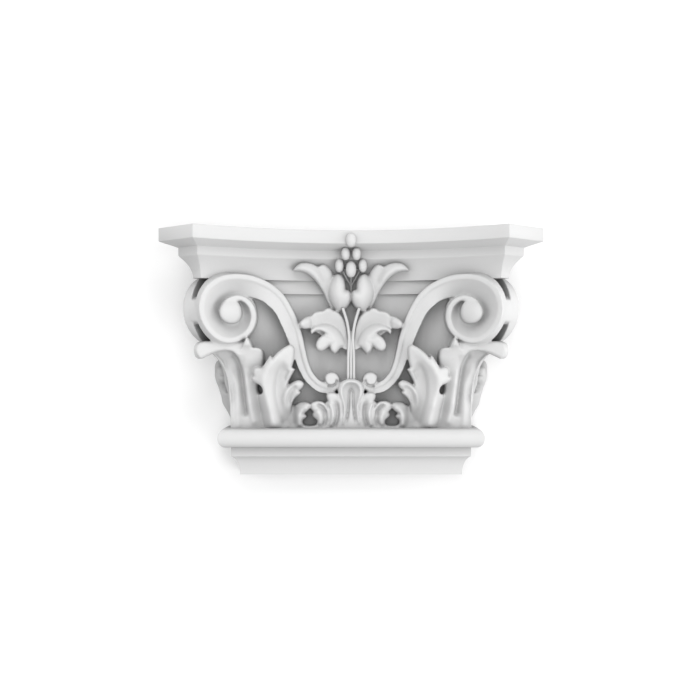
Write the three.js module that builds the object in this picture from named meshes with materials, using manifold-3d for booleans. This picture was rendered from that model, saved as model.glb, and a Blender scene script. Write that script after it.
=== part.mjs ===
// Corinthian capital for a pilaster, cast in one piece, millimetres, +Z up.
// The front looks along -Y and the flat back lies in the plane y = 0.
// The origin is the middle of the back face.
import * as THREE from "three";
import { mergeVertices } from "three/addons/utils/BufferGeometryUtils.js";
import Module from "manifold-3d";

const wasm = await Module();
wasm.setup();

// Overall sizes. Depths are measured forward from the back face.
const HEIGHT = 260.4;
const AXIS_TO_BACK = 88;
const TOP = HEIGHT / 2;
const BOTTOM = -HEIGHT / 2;
const BURIED = 9;
const PAST_BACK = 6;
const JOIN = 3;
const FACET_TOLERANCE = 0.25;

// Abacus: each course has a horn corner and the depth of its middle.
const HORN_X = 158.45;
const HORN_DEPTH = 112.3;
const SLAB_MIDDLE = 50.3;
const SLAB_HEIGHT = 13.9;
const SOFFIT_DROP = 6.4;
const NECK_X = 156.9;
const NECK_DEPTH = 92;
const NECK_MIDDLE = 34.9;
const FILLET_HEIGHT = 8.5;
const COVE_X = 155.3;
const COVE_DEPTH = 76.8;
const COVE_MIDDLE = 23.3;
const COVE_HEIGHT = 23.3;
const COVE_STEPS = 5;
const ABACUS_STEPS = 14;

// Bell behind the leaves, with the plain band under the abacus.
const BAND_HEIGHT = 14.4;
const BAND_X = 148;
const BAND_MIDDLE = 21;
const BELL_TOP_X = 140;
const BELL_FOOT_X = 119;
const BELL_MIDDLE = 17;

// Base: half widths and heights of the bottom, the fillet and the torus.
const FOOT_X = 119.4;
const FOOT_FILLET_X = 128.1;
const CAVETTO_HEIGHT = 20.3;
const FOOT_FILLET_HEIGHT = 9.9;
const TORUS_X = 141.3;
const TORUS_HEIGHT = 20.2;
const TORUS_FLAT = 4;
const TORUS_STEPS = 6;
const CAVETTO_STEPS = 4;
const CAVETTO_SWEEP = 0.96;

// Reference surface that the carving lies on, hollow in plan like the abacus.
const RELIEF_MIDDLE = 28;
const RELIEF_SAG = 60;
const RELIEF_FOOT = 32;
const RELIEF_FOOT_SAG = 12;
const RELIEF_BLEND = 90;

// Corner volute: eye and radii at each quarter turn from the top outward.
const EYE_X = 126;
const EYE_Z = 43;
const EYE_RADIUS = 10.6;
const EYE_LIFT = 5;
const EYE_SEAT = 2;
const QUARTER_RADII = [40.2, 29.9, 32, 26.4, 17, 10.6, 10];
const TURN_STEPS = 21;
const FIRST_QUARTER = -0.2;
const LAST_QUARTER = 5;
const STALK_JOINT = 0.02;
const WHOLE_TURN = 4;
const RIM_WIDTH = 5.4;
const RIM_LIFT = 2;
const RIM_SHARE = 0.6;
const RIM_BANK = 1.35;
const CHANNEL_SINK = 5;
const CHANNEL_RISE = 0.4;
const CHANNEL_LEAST = 0.2;
const TURN_GAP = 0.4;
const WEB_RADIUS = 25;

// Stalk of the volute, from the small scroll up: outer edge and inner edge.
const STALK_OUTER = [
  [19, -34], [28, -31.5], [39, -24], [47.5, -4],
  [53.5, 23], [65, 50.5], [86, 74.5], [112, 83],
];
const STALK_INNER = [
  [14, -38], [26, -43], [42.6, -36.2], [56.2, -16.9],
  [65.3, 8.2], [76, 34], [92, 54], [112, 60],
];
const STALK_STEPS = 12;
const SCROLL_X = 21.5;
const SCROLL_Z = -29.5;
const SCROLL_RADIUS = 8.4;
const SCROLL_DEPTH = 26;
const SCROLL_STRETCH = 1.2;

// Corner leaf: its middle rib on the diagonal, as distance from the axis and height.
const RIB = [[128, -82], [128.6, -48], [132, -24], [139, -8], [149, 3], [160, 8.5]];
const LEAF_ARM = [36, 35, 33, 42, 56, 66];
const LEAF_SLOPE = [0.14, 0.2, 0.28, 0.33, 0.36, 0.38];
const LEAF_FLUTE = 2.6;
const LEAF_FLUTES = 2;
const FLUTE_FADE = 0.7;
const LEAF_STEPS = 10;
const LEAF_ACROSS = 6;
const LEAF_THICK = [26, 22, 17, 13, 9, 5];
const LEAF_TAPER = 0.2;
const RIB_PUSH = 0.7;
const FLARE_FROM = 0.5;
const LIP_STEPS = 2;
const LIP_DROP = 13;
const LIP_REACH = 3;
const LIP_SAG = 9;
const LIP_EDGE = 3;
const LIP_WIDTH = 0.45;
const LIP_LEAST = 0.4;

// Leaves: the two margins and the middle rib, each as x and z from the foot to the tip.
const VEIN_LIFT = 1.4;
const VEIN_WAVE = 2.4;
const LEAF_CELLS = 4;
const CROWN_DIP = 0.75;
const HALF_LEAF = {
  near: [
    [58, -84], [62, -58], [53.6, -42.2], [57, -39], [50.4, -32.5],
    [67, -34], [60, -17.5], [62, -4], [61, 7],
  ],
  far: [
    [94, -84], [94, -46], [95, -34], [105, -27], [101, -22],
    [103.5, -17], [90, -9], [85.5, -1.5], [65, 9],
  ],
  rib: [[76, -84], [80, -48], [80, -20], [63.5, 8]],
  lift: [4, 6, 13, 17, 14],
  crown: 3,
};
const CENTRE_LEAF = {
  near: [
    [3.5, 4], [5, 28], [12, 42], [17, 45.2], [26.3, 48.1],
    [29.5, 44.5], [42, 40.5], [44, 36.5], [54, 31.5],
  ],
  far: [
    [3.5, -5], [10, 6.6], [16.7, 0], [22.5, 8.5], [35, 5.5],
    [28.5, 23], [42.5, 20.4], [43.5, 26], [54.5, 28],
  ],
  rib: [[3.5, 0], [10, 22], [24, 34], [54, 29.8]],
  lift: [1, 4, 5, 3],
  crown: 3.5,
};
const TRUMPET = {
  near: [[14, 50], [18, 70], [20, 86], [29, 95.2], [35, 93], [48, 96.4], [61, 90]],
  far: [[19.5, 46.5], [27, 58], [32.8, 70], [41, 79], [46, 83], [54, 86.8], [62, 87.5]],
  rib: [[17, 48], [26, 74], [38, 87], [61, 89]],
  lift: [1, 4, 10, 12, 11],
  crown: 3,
};
const LOW_LEAF_OUTER = {
  near: [[52, -84], [51.5, -72], [47.6, -67.3], [51, -64.4], [45, -59], [44.4, -55]],
  far: [[66, -84], [64, -66], [62, -57], [60, -53.8], [55, -52.8], [49, -52.8]],
  rib: [[60, -84], [58, -66], [55, -58], [46, -54]],
  lift: [2, 4, 7, 6],
  crown: 2.5,
};
const LOW_LEAF_INNER = {
  near: [[20, -84], [22, -68], [23, -60], [25, -56.4], [28, -53.5], [37, -52.2]],
  far: [[36, -84], [36.5, -71], [39, -66.5], [37.5, -62], [43, -59.5], [43.3, -55]],
  rib: [[27, -84], [29, -68], [32, -59], [41, -54]],
  lift: [2, 4, 7, 6],
  crown: 2.5,
};
const LOW_LEAF_MIDDLE = {
  near: [[8, -84], [13, -60], [15, -46], [19, -42.5]],
  far: [[22, -84], [21.5, -62], [26, -52], [26, -45.3]],
  rib: [[15, -84], [18, -60], [22, -44]],
  lift: [3, 5, 7],
  crown: 2,
};
const TONGUE_LEAF = {
  near: [[-7.5, -84], [-4.2, -66], [-2.6, -50], [-1.2, -38]],
  far: [[7.5, -84], [4.2, -66], [2.6, -50], [1.2, -38]],
  rib: [[0, -84], [0, -60], [0, -38]],
  lift: [5, 5, 5],
  crown: 1.5,
};

// Stems: path as x and z, lift off the relief surface, and radius.
const OMEGA_PATH = [[8, -82], [9.5, -62], [11.6, -42], [9.5, -32], [-1.5, -29]];
const OMEGA_LIFT = [5, 7, 8];
const OMEGA_RADIUS = 3;
const SIDE_STEM = [[3.6, -26], [3.6, 10], [4, 30], [10, 48]];
const MIDDLE_STEM = [[0, -28], [0, 10], [0, 30]];
const STEM_LIFT = [1, 2, 2];
const STEM_RADIUS = 1.9;
const STEM_STEPS = 6;
const STEM_SIDES = 6;
const STEM_BACK = -0.1;
const BERRY_TWIG = [[0, 62], [5, 76], [12.7, 92]];
const MIDDLE_TWIG = [[0, 60], [0, 76], [0, 92]];
const TWIG_LIFT = [0, 0, 2];
const TWIG_RADIUS = 1.5;

// Buds and berries: egg shapes, as deep as they are wide; places are x, z and depth.
const BUD_X = 15;
const BUD_Z = 65;
const BUD_HALF = 10.6;
const BUD_HEIGHT = 21;
const BUD_DEPTH = 29;
const BERRY_HALF = 5.4;
const BERRY_HEIGHT = 7.6;
const SIDE_BERRIES = [[6, 106.5, 38.5], [12.7, 94, 31]];
const TOP_BERRY = [0, 119, 50];
const LOW_BERRY = [0, 90, 31];
const LOW_BERRY_HEIGHT = 9.12;

// Mirror planes: left to right, and the diagonal that turns the front into the side.
const LEFT_RIGHT = new THREE.Matrix4().makeScale(-1, 1, 1);
const DIAGONAL = new THREE.Matrix4().set(
  0, -1, 0, AXIS_TO_BACK,
  -1, 0, 0, AXIS_TO_BACK,
  0, 0, 1, 0,
  0, 0, 0, 1,
);

// Closed solid of a geometry, with its faces turned outward.
function solidFrom(geometry) {
  const bare = geometry.clone();
  bare.deleteAttribute("normal");
  bare.deleteAttribute("uv");
  const merged = mergeVertices(bare, 1e-4);
  const tri = new Uint32Array(merged.index.array);
  const at = merged.attributes.position;
  let volume = 0;
  const a = new THREE.Vector3();
  const b = new THREE.Vector3();
  const c = new THREE.Vector3();
  for (let i = 0; i < tri.length; i += 3) {
    a.fromBufferAttribute(at, tri[i]);
    b.fromBufferAttribute(at, tri[i + 1]);
    c.fromBufferAttribute(at, tri[i + 2]);
    volume += a.dot(b.cross(c));
  }
  if (volume < 0) {
    for (let i = 0; i < tri.length; i += 3) {
      const keep = tri[i];
      tri[i] = tri[i + 1];
      tri[i + 1] = keep;
    }
  }
  const mesh = new wasm.Mesh({ numProp: 3, vertProperties: new Float32Array(at.array), triVerts: tri });
  return new wasm.Manifold(mesh);
}

// Block of nu by nv cells whose front and back skins are placed by a function.
function lattice(nu, nv, place) {
  const box = new THREE.BoxGeometry(1, 1, 1, nu, nv, 1);
  const at = box.attributes.position;
  for (let i = 0; i < at.count; i++) {
    const u = Math.round((at.getX(i) + 0.5) * nu);
    const v = Math.round((at.getY(i) + 0.5) * nv);
    const p = place(u, v, at.getZ(i) > 0);
    at.setXYZ(i, p.x, p.y, p.z);
  }
  return box;
}

function point(x, depth, z) {
  return new THREE.Vector3(x, -depth, z);
}

// The surface is nearly straight at the foot and hollows out as it rises.
function reliefDepth(x, z) {
  const share = Math.min(Math.max((z - TORUS_TOP) / RELIEF_BLEND, 0), 1);
  const rise = share * share * (3 - 2 * share);
  const above = RELIEF_MIDDLE + RELIEF_SAG * (x / HORN_X) ** 2;
  const below = RELIEF_FOOT + RELIEF_FOOT_SAG * (x / HORN_X) ** 2;
  return below + (above - below) * rise;
}

// Smooth value along a short row of numbers, at 0 to 1.
function along(values, s) {
  const knots = values.map((value, i) => new THREE.Vector3(i, value, 0));
  return new THREE.CatmullRomCurve3(knots).getPoint(Math.min(Math.max(s, 0), 1)).y;
}

function planePath(pairs) {
  return new THREE.CatmullRomCurve3(pairs.map(([x, z]) => new THREE.Vector3(x, 0, z)));
}

// Plan outline of one course, from the back round the left horn to the right horn.
function courseOutline(course) {
  const { x: front, depth, middle } = course;
  const far = depth + AXIS_TO_BACK;
  const centre = middle + AXIS_TO_BACK;
  const hollow = (t) => centre + (far - centre) * (t / front) ** 2;
  const right = [];
  const wallLine = AXIS_TO_BACK - PAST_BACK;
  right.push([hollow(wallLine), -PAST_BACK]);
  const between = (wallLine + front) / 2;
  right.push([hollow(between), between - AXIS_TO_BACK]);
  right.push([far, front - AXIS_TO_BACK]);
  const half = ABACUS_STEPS / 2;
  for (let i = half; i >= 1; i--) {
    const t = (front * i) / half;
    right.push([t, hollow(t) - AXIS_TO_BACK]);
  }
  const left = right.map(([px, pd]) => [-px, pd]);
  return [...left, [0, middle], ...right.reverse()];
}

function courseStack(courses) {
  const outlines = courses.map(courseOutline);
  const count = outlines[0].length;
  return lattice(count - 1, courses.length - 1, (u, v, front) => {
    const z = courses[v].z;
    const outline = outlines[v];
    if (front) {
      return point(outline[u][0], outline[u][1], z);
    }
    const reach = outline[count - 1][0];
    return point(-reach + (2 * reach * u) / (count - 1), -PAST_BACK - 1, z);
  });
}

function abacus() {
  const slabFoot = TOP - SLAB_HEIGHT;
  const filletTop = slabFoot - SOFFIT_DROP;
  const filletFoot = filletTop - FILLET_HEIGHT;
  const courses = [
    { z: TOP, x: HORN_X, depth: HORN_DEPTH, middle: SLAB_MIDDLE },
    { z: slabFoot, x: HORN_X, depth: HORN_DEPTH, middle: SLAB_MIDDLE },
    { z: filletTop, x: NECK_X, depth: NECK_DEPTH, middle: NECK_MIDDLE },
  ];
  for (let i = 0; i <= COVE_STEPS; i++) {
    const t = i / COVE_STEPS;
    const inward = 1 - (1 - t) ** 2;
    courses.push({
      z: filletFoot - COVE_HEIGHT * t,
      x: NECK_X + (COVE_X - NECK_X) * inward,
      depth: NECK_DEPTH + (COVE_DEPTH - NECK_DEPTH) * inward,
      middle: NECK_MIDDLE + (COVE_MIDDLE - NECK_MIDDLE) * inward,
    });
  }
  return courseStack(courses.reverse());
}

const COVE_FOOT = TOP - SLAB_HEIGHT - SOFFIT_DROP - FILLET_HEIGHT - COVE_HEIGHT;
const TORUS_TOP = BOTTOM + CAVETTO_HEIGHT + FOOT_FILLET_HEIGHT + TORUS_HEIGHT;

function bell() {
  const bandFoot = COVE_FOOT - BAND_HEIGHT;
  const square = (z, half, middle) => ({ z, x: half, depth: half - AXIS_TO_BACK, middle });
  const foot = square(TORUS_TOP - JOIN, BELL_FOOT_X, BELL_MIDDLE);
  const courses = [foot, square(bandFoot, BELL_TOP_X, BELL_MIDDLE)];
  const band = [square(bandFoot, BAND_X, BAND_MIDDLE), square(COVE_FOOT + JOIN, BAND_X, BAND_MIDDLE)];
  return [courseStack(courses), courseStack(band)];
}

// Base: straight in front and at the sides, its half width follows the moulding.
function base() {
  const rows = [[BOTTOM, FOOT_X]];
  const whole = 1 - Math.sqrt(1 - CAVETTO_SWEEP);
  for (let i = 1; i <= CAVETTO_STEPS; i++) {
    const t = i / CAVETTO_STEPS;
    const out = (1 - Math.sqrt(1 - t * t * CAVETTO_SWEEP)) / whole;
    rows.push([BOTTOM + CAVETTO_HEIGHT * t, FOOT_X + (FOOT_FILLET_X - FOOT_X) * out]);
  }
  const filletTop = BOTTOM + CAVETTO_HEIGHT + FOOT_FILLET_HEIGHT;
  rows.push([filletTop, FOOT_FILLET_X]);
  const round = TORUS_HEIGHT / 2;
  const straight = TORUS_X - round + TORUS_FLAT / 2;
  for (let i = 0; i <= TORUS_STEPS; i++) {
    const angle = (Math.PI * i) / TORUS_STEPS;
    const reach = (round - TORUS_FLAT / 2) * Math.sin(angle);
    rows.push([filletTop + round * (1 - Math.cos(angle)), straight + reach]);
  }
  return lattice(1, rows.length - 1, (u, v, front) => {
    const [z, half] = rows[v];
    return point(u ? half : -half, front ? half - AXIS_TO_BACK : -PAST_BACK, z);
  });
}

// Radius of the volute after a number of quarter turns.
function voluteRadius(quarter) {
  return along(QUARTER_RADII, quarter / (QUARTER_RADII.length - 1));
}

function volutePoint(quarter, inset) {
  const angle = Math.PI / 2 - (Math.PI / 2) * quarter;
  const radius = voluteRadius(quarter) - inset;
  return [EYE_X + radius * Math.cos(angle), EYE_Z + radius * Math.sin(angle)];
}

// Stalk and volute in one ribbon: outer and inner edge at each step.
function ribbonEdges() {
  const outerPath = planePath(STALK_OUTER);
  const innerPath = planePath(STALK_INNER);
  const edges = [];
  for (let i = 0; i < STALK_STEPS; i++) {
    const o = outerPath.getPoint(i / STALK_STEPS);
    const n = innerPath.getPoint(i / STALK_STEPS);
    edges.push({ outer: [o.x, o.z], inner: [n.x, n.z] });
  }
  for (let i = 0; i <= TURN_STEPS; i++) {
    const quarter = Math.max((LAST_QUARTER * i) / TURN_STEPS + FIRST_QUARTER, STALK_JOINT);
    const next = voluteRadius(Math.min(quarter + WHOLE_TURN, QUARTER_RADII.length - 1));
    const width = Math.max(voluteRadius(quarter) - next - TURN_GAP, RIM_WIDTH + CHANNEL_LEAST);
    edges.push({ outer: volutePoint(quarter, 0), inner: volutePoint(quarter, width) });
  }
  return edges;
}

function backDepth(x) {
  return Math.max(BURIED, x - AXIS_TO_BACK - 1);
}

function volute() {
  const edges = ribbonEdges();
  const steps = edges.length - 1;
  const ribbon = lattice(steps, 3, (u, v, front) => {
    const { outer, inner } = edges[u];
    const width = Math.hypot(outer[0] - inner[0], outer[1] - inner[1]);
    const rim = Math.min(RIM_WIDTH / width, RIM_SHARE);
    const share = [0, 1 - rim * RIM_BANK, 1 - rim, 1][v];
    const x = inner[0] + (outer[0] - inner[0]) * share;
    const z = inner[1] + (outer[1] - inner[1]) * share;
    const lift = [-CHANNEL_SINK * CHANNEL_RISE, -CHANNEL_SINK, RIM_LIFT, RIM_LIFT][v];
    return point(x, front ? reliefDepth(x, z) + lift : backDepth(x), z);
  });
  const eye = new THREE.SphereGeometry(EYE_RADIUS, 10, 6);
  eye.rotateX(Math.PI / 2);
  eye.scale(1, EYE_LIFT / EYE_RADIUS, 1);
  eye.translate(EYE_X, -reliefDepth(EYE_X, EYE_Z) + EYE_SEAT, EYE_Z);
  const web = new THREE.CylinderGeometry(WEB_RADIUS, WEB_RADIUS, 1, 16);
  const at = web.attributes.position;
  for (let i = 0; i < at.count; i++) {
    const x = EYE_X + at.getX(i);
    const depth = at.getY(i) > 0 ? reliefDepth(x, EYE_Z) - CHANNEL_SINK : backDepth(x);
    at.setXYZ(i, x, -depth, EYE_Z + at.getZ(i));
  }
  return [web, eye, ribbon];
}

function smallScroll() {
  const ball = new THREE.SphereGeometry(SCROLL_RADIUS, 10, 7);
  ball.scale(1, SCROLL_STRETCH, 1);
  ball.translate(SCROLL_X, -SCROLL_DEPTH, SCROLL_Z);
  return ball;
}

// Leaf round the corner: it flares under the volute and its tip hangs over.
function cornerLeaf() {
  const rib = planePath(RIB);
  const rows = LEAF_STEPS + LIP_STEPS;
  return lattice(2 * LEAF_ACROSS, rows, (u, v, outside) => {
    const s = Math.min(v / LEAF_STEPS, 1);
    const slope = along(LEAF_SLOPE, s);
    const length = Math.hypot(1, slope);
    const lip = Math.max(0, v - LEAF_STEPS) / LIP_STEPS;
    const w = Math.abs(u - LEAF_ACROSS) / LEAF_ACROSS;
    const p = rib.getPoint(s);
    const reach = along(LEAF_ARM, s) * w;
    const turn = Math.max(0, s - FLARE_FROM) / (1 - FLARE_FROM);
    const flute = LEAF_FLUTE * Math.cos(w * Math.PI * 2 * LEAF_FLUTES) * (1 - turn * FLUTE_FADE);
    const hang = Math.max(0, 1 - (w / LIP_WIDTH) ** 2);
    const push = flute + LIP_REACH * Math.sin(lip * Math.PI) * (LIP_LEAST + hang);
    const sink = outside ? 0 : along(LEAF_THICK, s);
    const out = (push - sink * (1 - turn)) / length;
    const diagonal = w ? 0 : out * RIB_PUSH;
    const pull = outside ? 0 : LIP_EDGE * turn + LEAF_TAPER * sink * (1 - turn);
    const slant = w ? out * slope : 0;
    const x = p.x - reach - slant + diagonal - pull;
    const y = p.x - reach * slope + (w ? out : diagonal) - pull;
    const sag = LIP_SAG * w ** 3 * turn;
    const z = p.z - lip * (LIP_EDGE + (LIP_DROP - LIP_EDGE) * hang) + sink * turn - sag;
    return u > LEAF_ACROSS ? point(x, y - AXIS_TO_BACK, z) : point(y, x - AXIS_TO_BACK, z);
  });
}

// Fluted leaf: both margins run from notch to tip, and the veins meet in the middle rib.
function leaf(spec) {
  const { near, far, rib, lift, crown } = spec;
  const spine = planePath(rib);
  const rows = near.length;
  const middle = near.map((_, i) => {
    const p = spine.getPoint(i / (rows - 1));
    return [p.x, p.z];
  });
  const reach = (edge, i) => Math.hypot(edge[i][0] - middle[i][0], edge[i][1] - middle[i][1]);
  const tooth = (edge, i) => {
    if (i === 0 || i === rows - 1) {
      return 0;
    }
    return Math.sign(reach(edge, i) - (reach(edge, i - 1) + reach(edge, i + 1)) / 2);
  };
  return lattice(LEAF_CELLS, rows - 1, (u, v, outside) => {
    const w = (2 * u) / LEAF_CELLS - 1;
    const edge = w < 0 ? near : far;
    const share = Math.abs(w);
    const x = middle[v][0] + (edge[v][0] - middle[v][0]) * share;
    const z = middle[v][1] + (edge[v][1] - middle[v][1]) * share;
    const flute = VEIN_LIFT * tooth(edge, v) * Math.sin(share * VEIN_WAVE);
    const round = crown * (1 - share ** 3) * (w ? 1 : CROWN_DIP);
    const height = along(lift, v / (rows - 1)) + round + flute;
    return point(x, outside ? reliefDepth(x, z) + height : backDepth(x), z);
  });
}

// Half round stem that grows out of the ground.
function stem(path, lift, radius) {
  const spine = planePath(path);
  const tube = new THREE.CylinderGeometry(1, 1, 1, STEM_SIDES, STEM_STEPS);
  const at = tube.attributes.position;
  for (let i = 0; i < at.count; i++) {
    const s = at.getY(i) + 0.5;
    const p = spine.getPoint(s);
    const q = spine.getTangent(s);
    const side = at.getX(i) * radius;
    const front = reliefDepth(p.x, p.z) + along(lift, s) + at.getZ(i) * radius;
    const buried = at.getZ(i) < STEM_BACK;
    at.setXYZ(i, p.x + q.z * side, buried ? -BURIED : -front, p.z - q.x * side);
  }
  return tube;
}

function egg(x, z, depth, half, height) {
  const ball = new THREE.SphereGeometry(1, 8, 6);
  ball.rotateX(Math.PI / 2);
  ball.scale(half, half, height);
  ball.translate(x, -depth, z);
  return ball;
}

function rightHalf() {
  const twice = [...volute(), leaf(HALF_LEAF)];
  return [
    ...twice,
    ...twice.map((piece) => piece.clone().applyMatrix4(DIAGONAL)),
    smallScroll(),
    cornerLeaf(),
    ...[CENTRE_LEAF, TRUMPET, LOW_LEAF_OUTER, LOW_LEAF_INNER, LOW_LEAF_MIDDLE].map(leaf),
    stem(OMEGA_PATH, OMEGA_LIFT, OMEGA_RADIUS),
    stem(SIDE_STEM, STEM_LIFT, STEM_RADIUS),
    stem(BERRY_TWIG, TWIG_LIFT, TWIG_RADIUS),
    egg(BUD_X, BUD_Z, BUD_DEPTH, BUD_HALF, BUD_HEIGHT),
    ...SIDE_BERRIES.map((place) => egg(...place, BERRY_HALF, BERRY_HEIGHT)),
  ];
}

function middle() {
  return [
    leaf(TONGUE_LEAF),
    stem(MIDDLE_STEM, STEM_LIFT, STEM_RADIUS),
    stem(MIDDLE_TWIG, TWIG_LIFT, TWIG_RADIUS),
    egg(...LOW_BERRY, BERRY_HALF, LOW_BERRY_HEIGHT),
    egg(...TOP_BERRY, BERRY_HALF, BERRY_HEIGHT),
  ];
}

const right = rightHalf();
const left = right.map((piece) => piece.clone().applyMatrix4(LEFT_RIGHT));
const pieces = [abacus(), ...bell(), base(), ...middle(), ...right, ...left];

// Everything behind the back face and below or above the end faces is cut away.
const room = new THREE.BoxGeometry(HORN_X * 3, HORN_DEPTH * 2, HEIGHT);
room.translate(0, -HORN_DEPTH, 0);
const joined = wasm.Manifold.union(pieces.map(solidFrom)).intersect(solidFrom(room));

// The outer skin is the casting: small pockets closed in by the carving are solid.
const shells = joined.simplify(FACET_TOLERANCE).decompose();
const casting = shells.sort((a, b) => b.volume() - a.volume())[0].getMesh();
const geometry = new THREE.BufferGeometry();
const positions = new Float32Array(casting.vertProperties);
geometry.setAttribute("position", new THREE.BufferAttribute(positions, 3));
geometry.setIndex(new THREE.BufferAttribute(new Uint32Array(casting.triVerts), 1));
geometry.computeVertexNormals();

const plaster = new THREE.MeshStandardMaterial({ color: 0xf2f2f0, roughness: 0.85, metalness: 0 });
const capital = new THREE.Mesh(geometry, plaster);
capital.name = "capital";

const group = new THREE.Group();
group.name = "corinthian_capital";
group.add(capital);

export default group;
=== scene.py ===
import math

import bmesh
import bpy
import numpy as np
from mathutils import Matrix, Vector, geometry
from bpy.props import FloatProperty, FloatVectorProperty, IntProperty, PointerProperty
from bpy.types import Operator, Panel, PropertyGroup


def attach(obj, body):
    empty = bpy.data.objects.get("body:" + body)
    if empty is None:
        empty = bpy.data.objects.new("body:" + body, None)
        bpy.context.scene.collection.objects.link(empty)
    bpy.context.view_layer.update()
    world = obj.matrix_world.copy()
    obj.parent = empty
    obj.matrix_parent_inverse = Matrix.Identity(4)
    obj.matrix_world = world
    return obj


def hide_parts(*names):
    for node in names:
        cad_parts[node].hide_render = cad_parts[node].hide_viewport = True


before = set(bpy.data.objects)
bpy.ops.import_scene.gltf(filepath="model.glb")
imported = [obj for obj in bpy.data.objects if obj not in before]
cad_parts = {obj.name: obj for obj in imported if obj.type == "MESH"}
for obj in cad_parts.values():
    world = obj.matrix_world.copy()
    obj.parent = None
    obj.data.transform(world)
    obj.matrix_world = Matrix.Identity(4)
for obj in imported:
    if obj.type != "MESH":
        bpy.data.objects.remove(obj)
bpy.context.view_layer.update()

bl_info = {
    "name": "Corinthian pilaster capital",
    "version": (1, 0, 0),
    "blender": (4, 5, 0),
    "location": "3D View > Sidebar > Capital",
    "description": "Models a cast plaster Corinthian capital against a pale wall",
    "category": "Object",
}

MM = 0.001
TINY = 1e-6
NET_MERGE = 1e-4
FAR = 1e9
NODE = "capital"
MOULDS = {}

# Overall sizes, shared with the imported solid.
AXIS_TO_BACK = 88.0
TOP = 130.2
BOTTOM = -130.2
BURIED = 9.0
PAST_BACK = 6.0
HORN_X = 158.45
HORN_DEPTH = 112.3
# Gaps kept to the wall plane, so that no two back faces coincide.
BAND_CLEAR = 0.4
CARVING_CLEAR = 0.2
# A face looking this squarely at the wall is left flat.
FLAT_BACK = 0.999
# The carving starts this far down inside the torus.
CARVING_SUNK = 2.5
# Angles in degrees: arrises that are softened, and edges that are shaded as sharp.
ARRIS_ANGLE = 28
MOULDING_SHARP = 35
CARVING_SHARP = 60

# Abacus courses: height, half width in front, depth at the horn and in the middle.
SLAB_FOOT = 116.3
FILLET_TOP = 109.9
FILLET_FOOT = 101.4
COVE_FOOT = 78.1
SLAB = (HORN_X, HORN_DEPTH, 50.3)
NECK = (156.9, 92.0, 34.9)
COVE = (155.3, 76.8, 23.3)
COVE_STEPS = 18
ABACUS_STEPS = 56

# Bell and band.
BAND_HEIGHT = 14.4
BAND = (148.0, 60.0, 21.0)
BELL_TOP = (140.0, 52.0, 17.0)
BELL_FOOT = (119.0, 31.0, 17.0)

# Base.
FOOT_X = 119.4
FOOT_FILLET_X = 128.1
CAVETTO_HEIGHT = 20.3
FOOT_FILLET_HEIGHT = 9.9
TORUS_X = 141.3
TORUS_HEIGHT = 20.2
TORUS_FLAT = 4.0
TORUS_TOP = -79.8
# The cavetto is nearly a quarter circle: the square of its height, and its reach out, as shares
# of a radius of 1.
CAVETTO_SWEEP = 0.96
CAVETTO_OUT = 0.8

# Surface that the carving lies on.
RELIEF_MIDDLE = 28.0
RELIEF_SAG = 60.0
RELIEF_FOOT = 32.0
RELIEF_FOOT_SAG = 12.0
RELIEF_BLEND = 90.0

# Volute and its stalk: matching points of the rim edge and of the inner edge.
VOLUTE_OUTER = [
    (25.5, -33.5), (29.1, -31.2), (34.2, -28.7), (38.1, -24.8), (42.6, -18.2), (46.5, -7.1), (49, 4.1),
    (52.3, 19.4), (57.1, 34.8), (63.4, 48.8), (70.8, 61.2), (80.4, 70.8), (91.2, 77.4), (103.1, 81.9),
    (114.9, 83.6), (123.6, 83.3), (132.8, 81.4), (140.8, 77.3), (147.8, 71), (152.6, 63), (155.1, 54.6),
    (155.8, 45.5), (154.3, 36), (150.2, 26.8), (144.1, 18.8), (136, 12.9), (127.8, 10.8), (119.3, 12),
    (111, 16.3), (104.4, 23.2), (100.8, 31.6), (99.8, 39.8), (101.6, 48.2), (105.7, 54.9), (111, 59.2),
]
VOLUTE_INNER = [
    (24, -42.8), (28.4, -42.9), (35, -41.2), (42.6, -36.2), (49.7, -28.6), (56.2, -16.9), (60.6, -4.5),
    (65.3, 8.2), (69.6, 19.6), (75, 31.9), (80.6, 43), (87.1, 50), (95.2, 55.9), (104, 58.9), (112, 60.2),
    (118.5, 61.2), (123.9, 60.2), (127.8, 58.4), (131.2, 55.4), (133.7, 52), (135.6, 48), (136.5, 43.3),
    (135.6, 39.2), (133.6, 35.7), (131, 33.2), (128, 31.9), (124.8, 31.5), (121.6, 32.1), (118.8, 33.8),
    (116.7, 36.2), (115.7, 38.8), (115.2, 42), (115.6, 46.6), (117, 51), (119, 54),
]
EYE = (125.9, 42.9)
EYE_RISE = 3.6
EYE_DOME = 5
EYE_DOME_REACH = 12
EYE_ROUND = 2.2
EYE_RUNS = [
    [(100.2, 43.5), (101.9, 48.4), (105.7, 54.9), (111, 59.2), (117.5, 61.2), (123.9, 60.2),
     (130.3, 56.4), (134.7, 50.1), (136.6, 43.3), (134.7, 36.5), (130.3, 32.5), (124.6, 31.3),
     (118.8, 33.3), (115.4, 39.6), (115.4, 46.5), (117, 51.4), (119.6, 54.4)],
    [(116, 55), (111.8, 52.6), (108.2, 48.4), (105.8, 43.6), (105.2, 38)],
    [(99.8, 38)],
]
# Shares along the volute, as start and length: stalk into volute, last turn, end of the skirt.
CURL = (0.30, 0.14)
LAST_TURN = (0.80, 0.20)
SKIRT_END = (0.80, 0.06)
SKIRT_FROM_X = (116, 24)
RIM_ROWS = (0.0, 0.08, 0.2, 0.4, 0.65, 0.85, 0.95, 1.0, 1.06, 1.15)
HOLLOW_ROWS = 9
RIM_RISE = 2.0
RIM_ROUND = 1.4
STALK_SINK = 1.7
VOLUTE_STEPS = 320
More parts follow.
